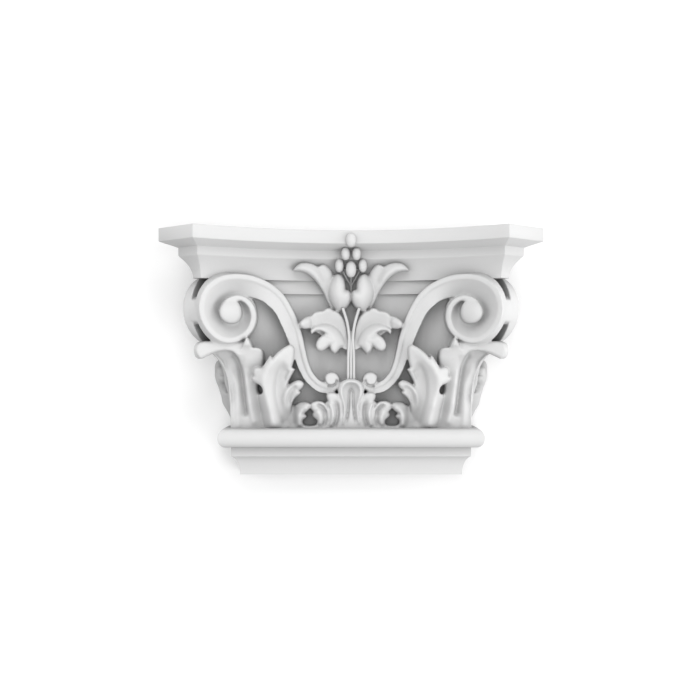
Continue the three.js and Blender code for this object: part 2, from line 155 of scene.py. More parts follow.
# The stalk leaves the bell from this x on, over this width.
FREE_FROM_X = (92, 20)
WEB_RADIUS = 25.5
WEB_RISE = 2.4
VOLUTE_THICK = 8
SKIRT = 5.5
BRIDGE_MIDDLE = 44.5
BRIDGE_HALF = 14
BRIDGE_RIM = 164
BRIDGE_BOW = 0.012
BRIDGE_DEEP = 12
BRIDGE_HALF_WIDTH = 7

# Small scroll at the foot of the stalk.
SCROLL_RUNS = [
    [(24, -42.6), (18.7, -41.9), (15.2, -38.8), (13.1, -33.6), (12.3, -29.2), (13.7, -24.8),
     (16.6, -21.6), (20.5, -20.3), (23.6, -20.8), (26.8, -22.8), (28.4, -26.6), (28.4, -30)],
    [(31, -31)],
    [(31, -41)],
]
SCROLL_CREASE = [
    (15.8, -28.4), (15.5, -31), (17.4, -33.4), (20.5, -34.9), (23.6, -34.8), (26.6, -32.9), (28.3, -30.3),
    (28.9, -27.5),
]
SCROLL = (21.6, -27.8)
SCROLL_BALL = 4.8
# The ball falls below this height, over this length, and outside this radius.
SCROLL_LOW = (-27.5, 3.0)
SCROLL_LOW_RADIUS = (5.4, 2.2)
SCROLL_RISE = 0.6
SCROLL_ROUND = 2.2
SCROLL_GROOVE = 4
SCROLL_GROOVE_WIDTH = 0.9

# Corner leaf: its rib on the diagonal and the slope of its two arms, by height.
RIB_Z = [-84, -60, -48, -36, -24, -15, -8, -2, 3, 6.5, 9, 14]
RIB_X = [128, 128.2, 128.7, 129.8, 131.8, 134.6, 138.6, 143.6, 149, 154.5, 160, 161]
ARM_SLOPE_Z = [-84, -48, -24, -8, 3, 9]
ARM_SLOPE = [0.14, 0.19, 0.22, 0.25, 0.31, 0.36]
ARM_RUNS = [
    [(129.2, -60), (129.8, -48), (132.8, -24), (139.6, -8), (150, 3), (157, 8)],
    [(119, 8.6)],
    [(116.8, 4.7), (111.8, 12.5), (109.2, 16.8), (106.6, 12.8), (104.2, 6)],
    [(98.8, 6), (94.8, 4), (93.2, -0.8), (93, -8), (94.6, -16), (98, -25), (99.6, -33), (99.8, -38),
     (98.6, -42), (95.6, -43.6), (92, -44)],
    [(84, -86)],
    [(129, -86)],
]
ARM_HARD = (0, 1, 4, 5)
ARM_LIFT = [
    (109.5, 14, 11.5), (105, 6, 11), (117.5, 3, 10.5), (115.5, -6, 9.5), (97, 3, 11), (94, -12, 13),
    (113, 4, 10), (112, -10, 11), (110, -32, 8), (107, -54, 5), (102, -20, 11), (98, -36, 8),
    (98, -60, 2), (103, -78, 1), (92, -80, 0), (124, 6, 1), (150, 5, 0), (126, -6, 0), (130, -20, 0),
    (122, -20, 0), (128, -60, 0), (120, -45, 0), (119, -66, 0), (128, -80, 0), (116, -80, 0),
]
ARM_MARKS = [
    ([(133.8, 1.4), (128.2, -15), (122.5, -34.9), (121, -60.5), (120, -84)], 3, 3, 1.6, 0.2, 0.1),
    ([(127, 2), (122, -4), (118.2, -14), (115.6, -30), (114, -48), (112, -69)], 2, 3.4, -6, 0.08, 0.07),
    ([(114.1, -8.2), (110.6, -32.1), (107.7, -53.5), (102.7, -78.9)], 4.5, 3.5, 3, 0.2, 0.1),
    ([(99.5, -44.6), (96.5, -60.7), (91.1, -80.6)], 4, 4, -1, 0.2, 0.1),
]
LIP_RUNS = [
    [(160.8, 0.7), (158.6, -3.6), (156, -5.8)],
    [(148.2, -1.6), (139.8, 1.9), (130.1, 3), (123.4, 1), (118.6, -5), (116.6, -12)],
    [(112.6, -4), (110, 4), (111, 13)],
    [(118, 12.2), (127, 11), (135, 11.6), (143, 12.6), (152, 12.8), (158, 11), (161.6, 6)],
]
LIP_LEVEL = 9.0
LIP_FORWARD = 4
# The end of the lip falls away below this height and inside this x, over this width.
LIP_FALL = 0.7
LIP_FALL_TOP = -1
LIP_FALL_X = (124, 8)
ARM_ROUND = 2.6
LIP_ROUND = 3.4


def mirrored(half):
    """A path across the middle, from its first half with the middle point last."""
    return half + [(-x, z) for x, z in half[-2::-1]]


def arch(half):
    """Runs of a symmetric outline: over the arch, then back along its foot."""
    return [mirrored(half)[1:], half[:1]]


# Leaves: runs of outline between sharp notches, lifts off the relief, ridges and grooves.
# Each run starts where the one before it ends. A mark gives a path, its widths toward and
# away from the middle, its height, and the shares over which it fades in and out.
LEAVES = {}
LEAVES["half_leaf"] = {
    "runs": [
        [(94, -86)],
        [(97, -66), (99.4, -50), (97.8, -43.6), (95.2, -43.2), (93.4, -40.9), (93.5, -37.5), (96, -33.6),
         (98.7, -32.4)],
        [(103, -30.2), (105, -26.9), (104.2, -24.6), (102.1, -23.7)],
        [(103.2, -20.7), (103, -17.4), (100.5, -14.6), (96.8, -14.3), (93.6, -15.4)],
        [(88.2, -6.6), (84.8, -1.6)],
        [(82.7, -5.1)],
        [(77.8, 0.8), (70.2, 6.6), (64.4, 9), (60.8, 5.8), (60.6, -1), (61.6, -8.7), (63.4, -14.8)],
        [(60.2, -17.1)],
        [(63.4, -23), (66.5, -29.9), (67.6, -34.6)],
        [(60, -29.6), (54.6, -28.9), (50.7, -32.4), (52.2, -36.6), (56.2, -39.7)],
        [(54, -41.7), (55, -43.4)],
        [(60.2, -47.8), (63.2, -53.6), (63.6, -60.2)],
        [(62, -70.3), (60, -86)],
        [(78, -86)],
    ],
    "lift": [
        (67, -84, -4), (95, -80, -4), (84, -72, 7), (88, -56, 10), (97, -64, -3), (64.5, -66, -3),
        (92, -40, 11), (88, -28, 12), (72, -30, 8), (80, -10, 14), (64, 4, 14), (101, -20, 9),
        (102, -27, 9), (52, -33, 12), (56, -42, 9), (98.6, -52, -1), (66, -46, 7)],
    "marks": [
        ([(63.6, 7), (81.1, -8.6), (89.9, -21.9), (92, -33.1), (88.1, -53.3),
          (80.5, -84)], 5.4, 6, 5, 0.2, 0.1),
        ([(68.5, -7.9), (76, -19), (79, -31.4), (79, -43.8), (76, -59.3),
          (70.5, -80)], 8, 2.6, -5.6, 0.14, 0.1),
        ([(55, -31.5), (62, -34.5), (68, -40.5), (70.5, -50), (69, -66)], 2.8, 2.8, 2.2, 0.1, 0.4),
        ([(56.8, -34.2), (62, -38.8), (66, -47), (66.8, -53), (65.6, -60)], 2.2, 2.6, -2.8, 0.15, 0.35),
        ([(54.6, -40.4), (58.6, -45), (62.3, -50.7), (63.4, -56.9)], 1.4, 1.6, 1.8, 0.1, 0.2),
        ([(66.6, -17), (70.4, -25.8), (71, -31)], 1.8, 2.2, -1.8, 0.2, 0.4),
    ],
    "round": 3.2, "crown": (2, 9),
}
LEAVES["low_leaf_outer"] = {
    "runs": [
        [(60.5, -56), (55.4, -52.9), (48.8, -52.5), (45.3, -53.4), (43.9, -55.2)],
        [(44.9, -59.3), (48, -62.3), (51.2, -64.6)],
        [(48.4, -66), (47.6, -67.4), (48.8, -69.3), (51.5, -71.1), (52.1, -74.1), (50.6, -76.7),
         (47, -77.9), (44, -78)],
        [(44, -86)],
        [(68, -86), (68, -66), (66, -56)],
    ],
    "lift": [
        (62, -84, -3), (47, -82, 1), (57, -66, 4), (47, -56, 8), (50, -67, 4), (65, -62, -5)],
    "marks": [
        ([(45.5, -56.5), (52, -60), (55, -67), (55, -80)], 4, 4, 3.4, 0.1, 0.15),
        ([(60, -56.6), (61.6, -64), (61.6, -80)], 3.4, 3.4, -3, 0.1, 0.2),
    ],
    "hard": (3, 4),
    "round": 3, "crown": (1.5, 6),
}
LEAVES["low_leaf_inner"] = {
    "runs": [
        [(42.3, -53.2), (40.1, -52.2), (35.7, -51.2), (30.5, -52.1), (27, -54.7), (24.5, -57.3)],
        [(20, -66), (18, -86)],
        [(44.5, -86)],
        [(44.5, -78)],
        [(40.1, -77.7), (37.5, -76.5), (36.2, -73.7), (37, -71.1), (40.5, -68.4), (41.7, -65.6),
         (40.3, -63)],
        [(42.5, -60.4), (43.6, -58), (43.6, -55.2)],
    ],
    "lift": [
        (30, -84, 2), (42, -82, 1), (32, -68, 5), (40, -55, 6.5), (40.5, -64, 4), (24, -62, 4),
        (22, -84, 1)],
    "marks": [
        ([(37.5, -55.2), (34, -55.9), (30.5, -58.2), (27.9, -62.3), (26.8, -67.1), (27.4, -73.2),
          (30, -79.5)], 1.6, 2.4, -4, 0.12, 0.12),
        ([(38, -60), (34.6, -64), (32.4, -70), (33.4, -78)], 3, 3.6, 2.6, 0.15, 0.15),
        ([(36.7, -52.6), (29.8, -53.8), (25.2, -59.7), (23.8, -65.8),
          (24.6, -74)], 1.6, 1.6, 1.8, 0.1, 0.2),
    ],
    "hard": (1, 2, 3),
    "round": 2.4, "crown": (1, 6),
}
LEAVES["low_leaf_middle"] = {
    "runs": [
        [(14.1, -43.6), (17.4, -42.5), (20.5, -42), (24.4, -42.7), (26.5, -44.9)],
        [(26.1, -47.9), (24.5, -51.8)],
        [(26.7, -52.1)],
        [(26.3, -54.6), (24.6, -57.6)],
        [(26.5, -66), (27, -86)],
        [(6, -86)],
        [(6, -60), (10, -46)],
    ],
    "lift": [
        (16, -84, 2), (20, -66, 5.5), (20, -46, 7.5), (25, -54, 5.5), (10, -60, 3), (27, -72, 1)],
    "marks": [
        ([(23.6, -52), (20.4, -59.3), (19.4, -64.6), (20.2, -71.2),
          (22.6, -79.6)], 2.2, 2.2, 3.2, 0.1, 0.12),
        ([(17.6, -48.2), (15.4, -55.7), (14.4, -63.5), (15.6, -72.2),
          (19, -81)], 2.2, 1.9, -4, 0.25, 0.12),
        ([(13, -47), (11.4, -55), (11, -63), (12, -74)], 1.6, 1.6, 1.2, 0.2, 0.2),
    ],
    "hard": (4, 5, 6),
    "round": 2.4, "crown": (1, 5),
}
LEAVES["centre_leaf_upper"] = {
    "runs": [
        [(4, 27.2), (7, 36), (10.6, 41.4), (15.2, 45.2), (19, 46.2)],
        [(22.6, 48.6), (26.6, 48.1), (29.9, 45.6)],
        [(35.7, 44.9), (39.4, 43.4), (42.4, 40.3)],
        [(49.2, 38), (54.2, 33.2), (54.6, 29.4), (51.4, 26.6), (47, 26.4), (42.8, 27.1)],
        [(36, 22), (20, 12), (6, 4)],
        [(2.4, 4), (2.4, 16)],
    ],
    "lift": [
        (3, 6, 0), (6, 26, 0.5), (12, 38, 2), (24, 45, 3.5), (36, 42, 4), (46, 36, 6), (52, 30.5, 9),
        (45, 28.5, 6), (34, 36, 1), (22, 35, -1), (12, 27, -1.5)],
    "marks": [
        ([(53, 30), (46, 33.8), (40, 36)], 2.6, 2.6, 1.6, 0.1, 0.3),
        ([(43.6, 39.4), (41.6, 33.5), (42.8, 27.4)], 1.6, 1.6, -1.8, 0.2, 0.1),
    ],
    "hard": (4, 5),
    "round": 2.4, "crown": (1.5, 6),
}
LEAVES["centre_leaf_lower"] = {
    "runs": [
        [(5.6, 12), (9.5, 21.7), (14, 27.4), (19.4, 31), (25, 33), (30.6, 33.1), (36.6, 31.4),
         (40.6, 28.4), (43.4, 24.6), (42.2, 20.4)],
        [(38.6, 23.4), (34.6, 24.1), (31, 23.4), (27.6, 21.4)],
        [(32.6, 18), (36.4, 13.6), (37.8, 8.4), (36.4, 4.2), (32.8, 2.4), (27.4, 4.4), (23, 8.9)],
        [(22.4, 4.6), (20.4, 1.4), (17, -0.6)],
        [(13.6, 3), (10.6, 6.4), (8, 6.9), (5.8, 4), (4.6, -3.5)],
        [(3, -3.5), (3, 0)],
    ],
    "lift": [
        (3.6, 0, 0), (6, 12, 1), (16, 18, 6), (12, 25.6, 0), (24, 32.6, 0.5), (34, 32, 2.5), (30, 27, 7),
        (41, 24, 9), (34, 8, 9), (18, 3, 7), (24, 16, 8)],
    "marks": [
        ([(27.8, 20.6), (23, 18), (18, 15)], 1.6, 1.6, -1.6, 0.1, 0.5),
        ([(23, 9.4), (19, 11), (15, 12)], 1.4, 1.4, -1, 0.1, 0.5),
    ],
    "round": 4.2, "crown": (1.5, 7),
}
LEAVES["trumpet"] = {
    "runs": [
        [(14, 60), (16, 74), (18.8, 83), (20.4, 88), (23.6, 92.2), (29.3, 95.7), (35.2, 93)],
        [(41.7, 95.9), (47.3, 97), (54.1, 96.2), (58.9, 92.8), (62.4, 88.2)],
        [(55, 87.8), (50.2, 86.6), (45.6, 84.4), (41, 80.8), (36.1, 75.1), (30.4, 66.1), (26, 56.6),
         (22, 48.4)],
        [(14, 46)],
    ],
    "lift": [
        (18, 48, -2), (24, 64, 0.5), (30, 80, 6), (36, 88, 8), (50, 91, 8.5), (60, 88.6, 6.5),
        (24, 90, 5)],
    "marks": [
        ([(35.2, 92.6), (31, 86), (25.6, 72)], 3.4, 3.4, -1.6, 0.2, 0.3),
        ([(60, 88.6), (48, 90.2), (38, 84), (30, 72)], 3.4, 3.4, 1.6, 0.2, 0.3),
    ],
    "round": 2.6, "crown": (1.5, 6),
}
LEAVES["bud"] = {
    "runs": [
        [(6.1, 73.6), (7.8, 80.4), (10.4, 84.6), (13.5, 86.4), (17.4, 84.8), (21, 80.6), (23.9, 75.4),
         (25.4, 69), (25, 61.6), (22.4, 54), (18.4, 48), (14.4, 44.8), (10.6, 44.9), (6, 48), (2.2, 52.6),
         (-0.2, 59), (0.3, 65), (3, 67.8), (5.9, 68.2)],
    ],
    "lift": [
        (12, 60, 13), (13, 82, 11), (12, 46, 7), (22, 66, 9)],
    "round": 9.5, "crown": (1.5, 10),
}
LEAVES["tongue"] = {
    "runs": arch([
        (-8, -86), (-6.4, -78.9), (-3.2, -68), (-1.7, -57.1), (-1.3, -48.4), (-1, -41.5), (0, -39.6)]),
    "lift": [
        (0, -84, 3), (0, -60, 4.6), (0, -42, 5)],
    "hard": (1,),
    "round": 1.6, "crown": (1.2, 3),
}
LEAVES["omega"] = {
    "runs": arch([
        (14.5, -86), (12.2, -79.4), (10, -72.8), (8.9, -67.1), (8.5, -61.5), (8.9, -57.1), (10.9, -51),
        (12.7, -44.9), (13.9, -40.4), (13.3, -35.6), (10.9, -31.3), (6, -28.3), (0, -27.3)]),
    "lift": [
        (0, -84, 0), (9, -80, 2), (-9, -80, 2), (0, -50, 2.4), (0, -36, 2.4), (9, -45, 6), (-9, -45, 6),
        (0, -29.5, 7), (5, -52, 3.2), (-5, -52, 3.2), (4.6, -38, 3.2), (-4.6, -38, 3.2)],
    "marks": [
        (mirrored([(9.6, -80), (7.8, -66), (7, -57.1), (8.6, -49.2), (10.2, -42.2), (9.6, -36.4),
                   (7, -32.4), (3.6, -30.8), (0, -30.3)]), 2, 2, 3.4, 0.06, 0.06),
        (mirrored([(7.2, -79.5), (4.3, -68), (2.8, -57.1), (2.4, -48.4), (2.1, -41.4),
                   (0, -38.2)]), 0.8, 0.8, -3, 0.05, 0.05),
    ],
    "hard": (1,),
    "round": 2, "crown": (0.6, 5),
}
PLATE_EASE = 0.05
MARK_STEP = 1.5
STEM_STEP = 1.2
ONCE = ("tongue", "omega")
TWICE = ("half_leaf",)

# Stems: points as x, z and lift off the relief, then the radius.
STEMS = [
    ([(3.1, -30, 1.8), (3, -4, 1.8), (2.5, 6, 2), (2, 15, 2.6), (2.6, 24, 3.2), (4.2, 33, 4),
      (6.4, 41, 5.2), (9, 49, 7)], 1.6),
    ([(0, -30, 1.8), (0, 4, 1.8), (0, 14, 1.6), (0, 24, 0.6)], 1.5),
    ([(0, 60, -1.5), (0, 74, -1), (0, 92, 2)], 0.9),
    ([(0, 71, -1.5), (1.6, 75.4, -1.2), (4.7, 80.4, 0), (8.8, 88.5, 1.5)], 0.8),
    ([(12, 91, 2), (6.5, 97.5, 3), (6, 104, 6)], 0.9),
    ([(1.5, 92, 2), (6.5, 99, 3), (5, 110, 8), (0, 116, 14)], 0.9),
    ([(12, 91, 1), (5, 90, 1), (0, 88, 1)], 0.9),
    ([(0, 94, 1), (0, 104, 4), (0, 116, 12)], 0.9),
]
# Berries: x, depth, z, then half width, half depth and half height.
BERRIES = [
    (0, 51, 119.8, 5.6, 5.4, 7.5), (5.8, 42, 106.2, 4.7, 5.2, 6.9), (12.5, 36, 94, 4.7, 5.2, 7.4),
    (0, 37.5, 90, 5.6, 5.6, 9),
]

# Soft lamps: place in metres and share of the key light's power.
LAMPS = [
    ("right", (1.1, -1.0, -0.7), 0.87),
    ("high", (0.0, -1.2, 1.2), 0.81),
    ("left", (-1.45, -0.85, 0.3), 0.53),
    ("side", (1.65, -0.2, 0.2), 1.1),
    ("front", (0.0, -1.7, 0.0), 0.6),
]
LAMP_SIZE = 1.1
CAMERA_PLACE = (-0.0011, -1.173, 0.0036)
CAMERA_LENS = 54.57
# Backdrop in metres: how far it clears the origin, its half width and its sweep to a floor.
WALL_BEHIND = 0.0005
WALL_HALF = 4.0
WALL_TOP = 2.0
SWEEP_TOP = -0.9
SWEEP_RADIUS = 0.4


# Plane curves

def blend(a, b, start, stop, t):
    return (stop - t) / (stop - start) * a + (t - start) / (stop - start) * b


def spline(points, step):
    """Points about one step apart on a smooth curve through the given points."""
    pts = np.asarray(points, dtype=float)
    if len(pts) == 2:
        count = max(2, int(np.hypot(*(pts[1] - pts[0])) / step) + 1)
        t = np.linspace(0.0, 1.0, count)[:, None]
        return pts[0] + (pts[1] - pts[0]) * t
    ext = np.vstack([2 * pts[0] - pts[1], pts, 2 * pts[-1] - pts[-2]])
    out = []
    for i in range(1, len(ext) - 2):
        p0, p1, p2, p3 = ext[i - 1:i + 3]
        gaps = [max(np.linalg.norm(q - p), TINY) ** 0.5 for p, q in ((p0, p1), (p1, p2), (p2, p3))]
        t0, t1, t2, t3 = 0.0, gaps[0], gaps[0] + gaps[1], gaps[0] + gaps[1] + gaps[2]
        count = max(1, int(round(np.linalg.norm(p2 - p1) / step)))
        for t in np.linspace(t1, t2, count, endpoint=False):
            a2 = blend(p1, p2, t1, t2, t)
            b1 = blend(blend(p0, p1, t0, t1, t), a2, t0, t2, t)
            b2 = blend(a2, blend(p2, p3, t2, t3, t), t1, t3, t)
            out.append(blend(b1, b2, t1, t2, t))
    out.append(pts[-1])
    return np.array(out)


def along(points, share):
    """Smooth curve through rows of numbers, read at shares between 0 and 1."""
    pts = np.asarray(points, dtype=float)
    ext = np.vstack([2 * pts[0] - pts[1], pts, 2 * pts[-1] - pts[-2]])
    at = np.clip(np.asarray(share, dtype=float), 0.0, 1.0) * (len(pts) - 1)
    i = np.minimum(at.astype(int), len(pts) - 2)
    t = (at - i)[:, None]
    p0, p1, p2, p3 = ext[i], ext[i + 1], ext[i + 2], ext[i + 3]
    return 0.5 * (2 * p1 + (p2 - p0) * t + (2 * p0 - 5 * p1 + 4 * p2 - p3) * t ** 2
                  + (3 * p1 - p0 - 3 * p2 + p3) * t ** 3)


def to_line(x, z, line):
    """Distance of each point to a polyline, the share along it and the side it lies on."""
    line = np.asarray(line, dtype=float)
    best = np.full(len(x), FAR)
    share = np.zeros(len(x))
    side = np.zeros(len(x))
    lengths = np.hypot(*(line[1:] - line[:-1]).T)
    run = np.concatenate([[0.0], np.cumsum(lengths)])
    for i, length in enumerate(lengths):
        if length < TINY:
            continue
        ax, az = line[i]
        dx, dz = (line[i + 1] - line[i]) / length
        t = np.clip((x - ax) * dx + (z - az) * dz, 0.0, length)
        d = np.hypot(x - ax - t * dx, z - az - t * dz)
        nearer = d < best
        best[nearer] = d[nearer]
        share[nearer] = ((run[i] + t) / run[-1])[nearer]
        side[nearer] = (dx * (z - az) - dz * (x - ax))[nearer]
    return best, share, side


def inside(x, z, loop):
    """Which points lie inside a closed loop."""
    hit = np.zeros(len(x), dtype=bool)
    for (ax, az), (bx, bz) in zip(loop, np.roll(loop, -1, axis=0)):
        cross = (az > z) != (bz > z)
        if cross.any():
            reach = ax + (z - az) * (bx - ax) / (bz - az if bz != az else 1e-9)
            hit ^= cross & (x < reach)
    return hit


def smooth(t):
    """Soft step from 0 to 1."""
    t = np.clip(t, 0.0, 1.0)
    return t * t * (3 - 2 * t)


# Surfaces of the carving

def relief_depth(x, z):
    """Depth of the hollow front that the carving lies on."""
    rise = smooth((np.asarray(z) - TORUS_TOP) / RELIEF_BLEND)
    share = (np.asarray(x) / HORN_X) ** 2
    above = RELIEF_MIDDLE + RELIEF_SAG * share
    below = RELIEF_FOOT + RELIEF_FOOT_SAG * share
    return below + (above - below) * rise


def back_depth(x):
    return np.maximum(BURIED, np.asarray(x) - AXIS_TO_BACK - 1)


def bending(distance2):
    return 0.5 * distance2 * np.log(distance2 + 1e-9)


def lifted(x, z, nodes):
    """Lift between given places, as a thin plate bent through them."""
    at = np.array(nodes, dtype=float)
    count = len(at)
    px, pz = at[:, 0] / 10, at[:, 1] / 10
    plane = np.stack([np.ones(count), px, pz], axis=1)
    system = np.zeros((count + 3, count + 3))
    system[:count, :count] = bending((px[:, None] - px) ** 2 + (pz[:, None] - pz) ** 2)
    system[:count, :count] += PLATE_EASE * np.eye(count)
    system[:count, count:] = plane
    system[count:, :count] = plane.T
    target = np.concatenate([at[:, 2], np.zeros(3)])
    weights = np.linalg.lstsq(system, target, rcond=None)[0]
    x, z = np.asarray(x) / 10, np.asarray(z) / 10
    lift = bending((x[:, None] - px) ** 2 + (z[:, None] - pz) ** 2) @ weights[:count]
    lift += weights[count] + weights[count + 1] * x + weights[count + 2] * z
    return np.clip(lift, at[:, 2].min() - 2, at[:, 2].max() + 2)


def marks(x, z, rows):
    """Ridges and grooves along lines; the widths are those toward and away from the middle."""
    height = np.zeros(len(x))
    for path, near, far, amount, start, stop in rows:
        d, share, side = to_line(x, z, spline(path, MARK_STEP))
        fade = smooth(share / start) * smooth((1 - share) / stop)
        height += amount * fade * np.exp(-(d / np.where(side > 0, far, near)) ** 2)
    return height


def rounded(rim, radius):
    """How far an edge of this radius falls away near its rim."""
    t = 1 - np.clip(rim / radius, 0.0, 1.0)
    return radius * (1 - np.sqrt(1 - t * t))


# Closed shells, as points and faces

def closed(points, faces):
    """Faces turned outward, found from the sign of the enclosed volume."""
    points = np.asarray(points, dtype=float)
    volume = 0.0
    for f in faces:
        for i in range(1, len(f) - 1):
            volume += np.dot(points[f[0]], np.cross(points[f[i]], points[f[i + 1]]))
    if volume < 0:
        faces = [tuple(reversed(f)) for f in faces]
    return points, faces


def placed(x, depth, z):
    return np.stack([x, -np.asarray(depth), z], axis=-1)


def lattice(front, back):
    """Block between two skins, each a grid of points."""
    nu, nv = front.shape[0] - 1, front.shape[1] - 1
    count = (nu + 1) * (nv + 1)
    points = np.vstack([front.reshape(-1, 3), back.reshape(-1, 3)])
    at = np.arange(count).reshape(nu + 1, nv + 1)
    faces = []
    for u in range(nu):
        for v in range(nv):
            a, b, c, d = at[u, v], at[u + 1, v], at[u + 1, v + 1], at[u, v + 1]
            faces.append((a, b, c, d))
            faces.append((a + count, d + count, c + count, b + count))
    ring = [*at[:, 0], *at[nu, 1:], *at[:nu, nv][::-1], *at[0, 1:nv][::-1]]
    for a, b in zip(ring, ring[1:] + ring[:1]):
        faces.append((b, a, a + count, b + count))
    return closed(points, faces)


def sheet(runs, surface, pitch, hard=()):
    """Carved sheet: smooth runs that meet in sharp notches, filled by a fine net."""
    pieces = [spline([runs[i - 1][-1], *run], pitch) for i, run in enumerate(runs)]
    loop = np.vstack([p[:-1] for p in pieces])
    keep = np.hypot(*(loop - np.roll(loop, 1, axis=0)).T) > pitch * 0.25
    loop = loop[keep]
    low, high = loop.min(axis=0), loop.max(axis=0)
    gx, gz = np.meshgrid(np.arange(low[0], high[0], pitch), np.arange(low[1], high[1], pitch))
    gx = gx + (np.arange(gx.shape[0]) % 2)[:, None] * pitch / 2
    gx, gz = gx.ravel(), gz.ravel()
    within = inside(gx, gz, loop)
    gx, gz = gx[within], gz[within]
    gap, _, _ = to_line(gx, gz, np.vstack([loop, loop[:1]]))
    gx, gz = gx[gap > pitch * 0.5], gz[gap > pitch * 0.5]
    flat = np.vstack([loop, np.stack([gx, gz], axis=1)])
    rim_edges = [(i, (i + 1) % len(loop)) for i in range(len(loop))]
    coords, _, tris, _, _, _ = geometry.delaunay_2d_cdt(
        [Vector(p) for p in flat], rim_edges, [], 0, NET_MERGE)
    flat = np.array([tuple(c) for c in coords])
    tris = np.array([t for t in tris if len(t) == 3])
    middle = flat[tris].mean(axis=1)
    tris = tris[inside(middle[:, 0], middle[:, 1], loop)]
    x, z = flat[:, 0], flat[:, 1]
    rim = np.full(len(x), FAR)
    for i, piece in enumerate(pieces):
        if i not in hard:
            rim = np.minimum(rim, to_line(x, z, piece)[0])
    front = placed(x, surface(x, z, rim), z)
    rear = placed(x, back_depth(x), z)
    count = len(x)
    faces = [tuple(t) for t in tris] + [tuple(reversed(t + count)) for t in tris]
    once = {}
    for t in tris:
        for a, b in ((t[0], t[1]), (t[1], t[2]), (t[2], t[0])):
            if (b, a) in once:
                del once[(b, a)]
            else:
                once[(a, b)] = True
    faces += [(b, a, a + count, b + count) for a, b in once]
    return closed(np.vstack([front, rear]), faces)


def flipped(shell, move):
    points, faces = shell
    return closed(move(points), faces)


def left_right(points):
    return points * np.array([-1.0, 1.0, 1.0])


def diagonal(points):
    return np.stack([AXIS_TO_BACK - points[:, 1], AXIS_TO_BACK - points[:, 0], points[:, 2]], axis=1)


# Blender objects

def mesh_object(name, shells):
    """One mesh object from closed shells, converted to metres."""
    points, faces, start = [], [], 0
    for shell_points, shell_faces in shells:
        points.append(shell_points)
        faces += [tuple(int(i) + start for i in f) for f in shell_faces]
        start += len(shell_points)
    mesh = bpy.data.meshes.new(name)
    mesh.from_pydata((np.vstack(points) * MM).tolist(), [], faces)
    mesh.validate()
    mesh.update()
    piece = bpy.data.objects.new(name, mesh)
    bpy.context.scene.collection.objects.link(piece)
    return piece


def baked(piece):
    """Put the evaluated shape of an object into its own mesh."""
    shaped = piece.evaluated_get(bpy.context.evaluated_depsgraph_get())
    mesh = bpy.data.meshes.new_from_object(shaped)
    piece.modifiers.clear()
    old = piece.data
    piece.data = mesh
    mesh.name = piece.name
    bpy.data.meshes.remove(old)


def room_box(name, low, high):
    (x0, y0, z0), (x1, y1, z1) = low, high
    corners = np.array([[x, y, z] for x in (x0, x1) for y in (y0, y1) for z in (z0, z1)], float)
    faces = [(0, 1, 3, 2), (4, 6, 7, 5), (0, 4, 5, 1), (2, 3, 7, 6), (0, 2, 6, 4), (1, 5, 7, 3)]
    return mesh_object(name, [closed(corners, faces)])


def cut_to_room(piece, low_z=BOTTOM, clear=0.0):
    """Keep what lies a little clear of the wall plane and between two heights."""
    room = room_box("room", (-HORN_X * 2, -HORN_DEPTH * 2, low_z), (HORN_X * 2, -clear, TOP))
    cut = piece.modifiers.new("Cut", "BOOLEAN")
    cut.operation = "INTERSECT"
    cut.solver = "MANIFOLD"
    cut.object = room
    baked(piece)
    bpy.data.objects.remove(room)
    if not piece.data.polygons:
        raise RuntimeError(piece.name + " has nothing in front of the wall")


def finish_piece(piece, sharp):
    piece.data.materials.clear()
    piece.data.materials.append(plaster_material())
    piece.data.shade_smooth()
    piece.data.set_sharp_from_angle(angle=math.radians(sharp))
    for face in piece.data.polygons:
        if face.normal.y > FLAT_BACK:
            face.use_smooth = False
    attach(piece, "root")
    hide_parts(NODE)


# Courses of the abacus and the base

def course_outline(course, steps):
    """Outline of one level of the abacus, from wall to wall round its hollow front."""
    front, depth, middle = course
    far = depth + AXIS_TO_BACK
    centre = middle + AXIS_TO_BACK

    def hollow(t):
        return centre + (far - centre) * (t / front) ** 2
    wall = AXIS_TO_BACK - PAST_BACK
    side = [(hollow(t), t - AXIS_TO_BACK) for t in np.linspace(wall, front, 8)]
    run = [(t, hollow(t) - AXIS_TO_BACK) for t in np.linspace(front, 0.0, steps // 2 + 1)]
    right = np.array(side + run)
    left = right[:-1] * np.array([-1.0, 1.0])
    return np.vstack([left, right[::-1]])


def course_stack(courses, steps=ABACUS_STEPS):
    front, back = [], []
    for z, course in courses:
        outline = course_outline(course, steps)
        count = len(outline)
        front.append(placed(outline[:, 0], outline[:, 1], np.full(count, z)))
        reach = np.linspace(outline[0, 0], outline[-1, 0], count)
        back.append(placed(reach, np.full(count, -PAST_BACK - 1), np.full(count, z)))
    return lattice(np.array(front).transpose(1, 0, 2), np.array(back).transpose(1, 0, 2))


def between(a, b, share):
    return tuple(p + (q - p) * share for p, q in zip(a, b))


def abacus_shell():
    courses = [(TOP, SLAB), (SLAB_FOOT, SLAB), (FILLET_TOP, NECK), (FILLET_FOOT, NECK)]
    for t in np.linspace(0.0, 1.0, COVE_STEPS + 1)[1:]:
        inward = 1 - (1 - t) ** 2
        courses.append((FILLET_FOOT + (COVE_FOOT - FILLET_FOOT) * t, between(NECK, COVE, inward)))
    return course_stack(courses[::-1])


def band_shell():
    return course_stack([(COVE_FOOT - BAND_HEIGHT, BAND), (COVE_FOOT + 3, BAND)])


def bell_shell():
    return course_stack([(TORUS_TOP - 3, BELL_FOOT), (COVE_FOOT - 2, BELL_TOP)], 40)


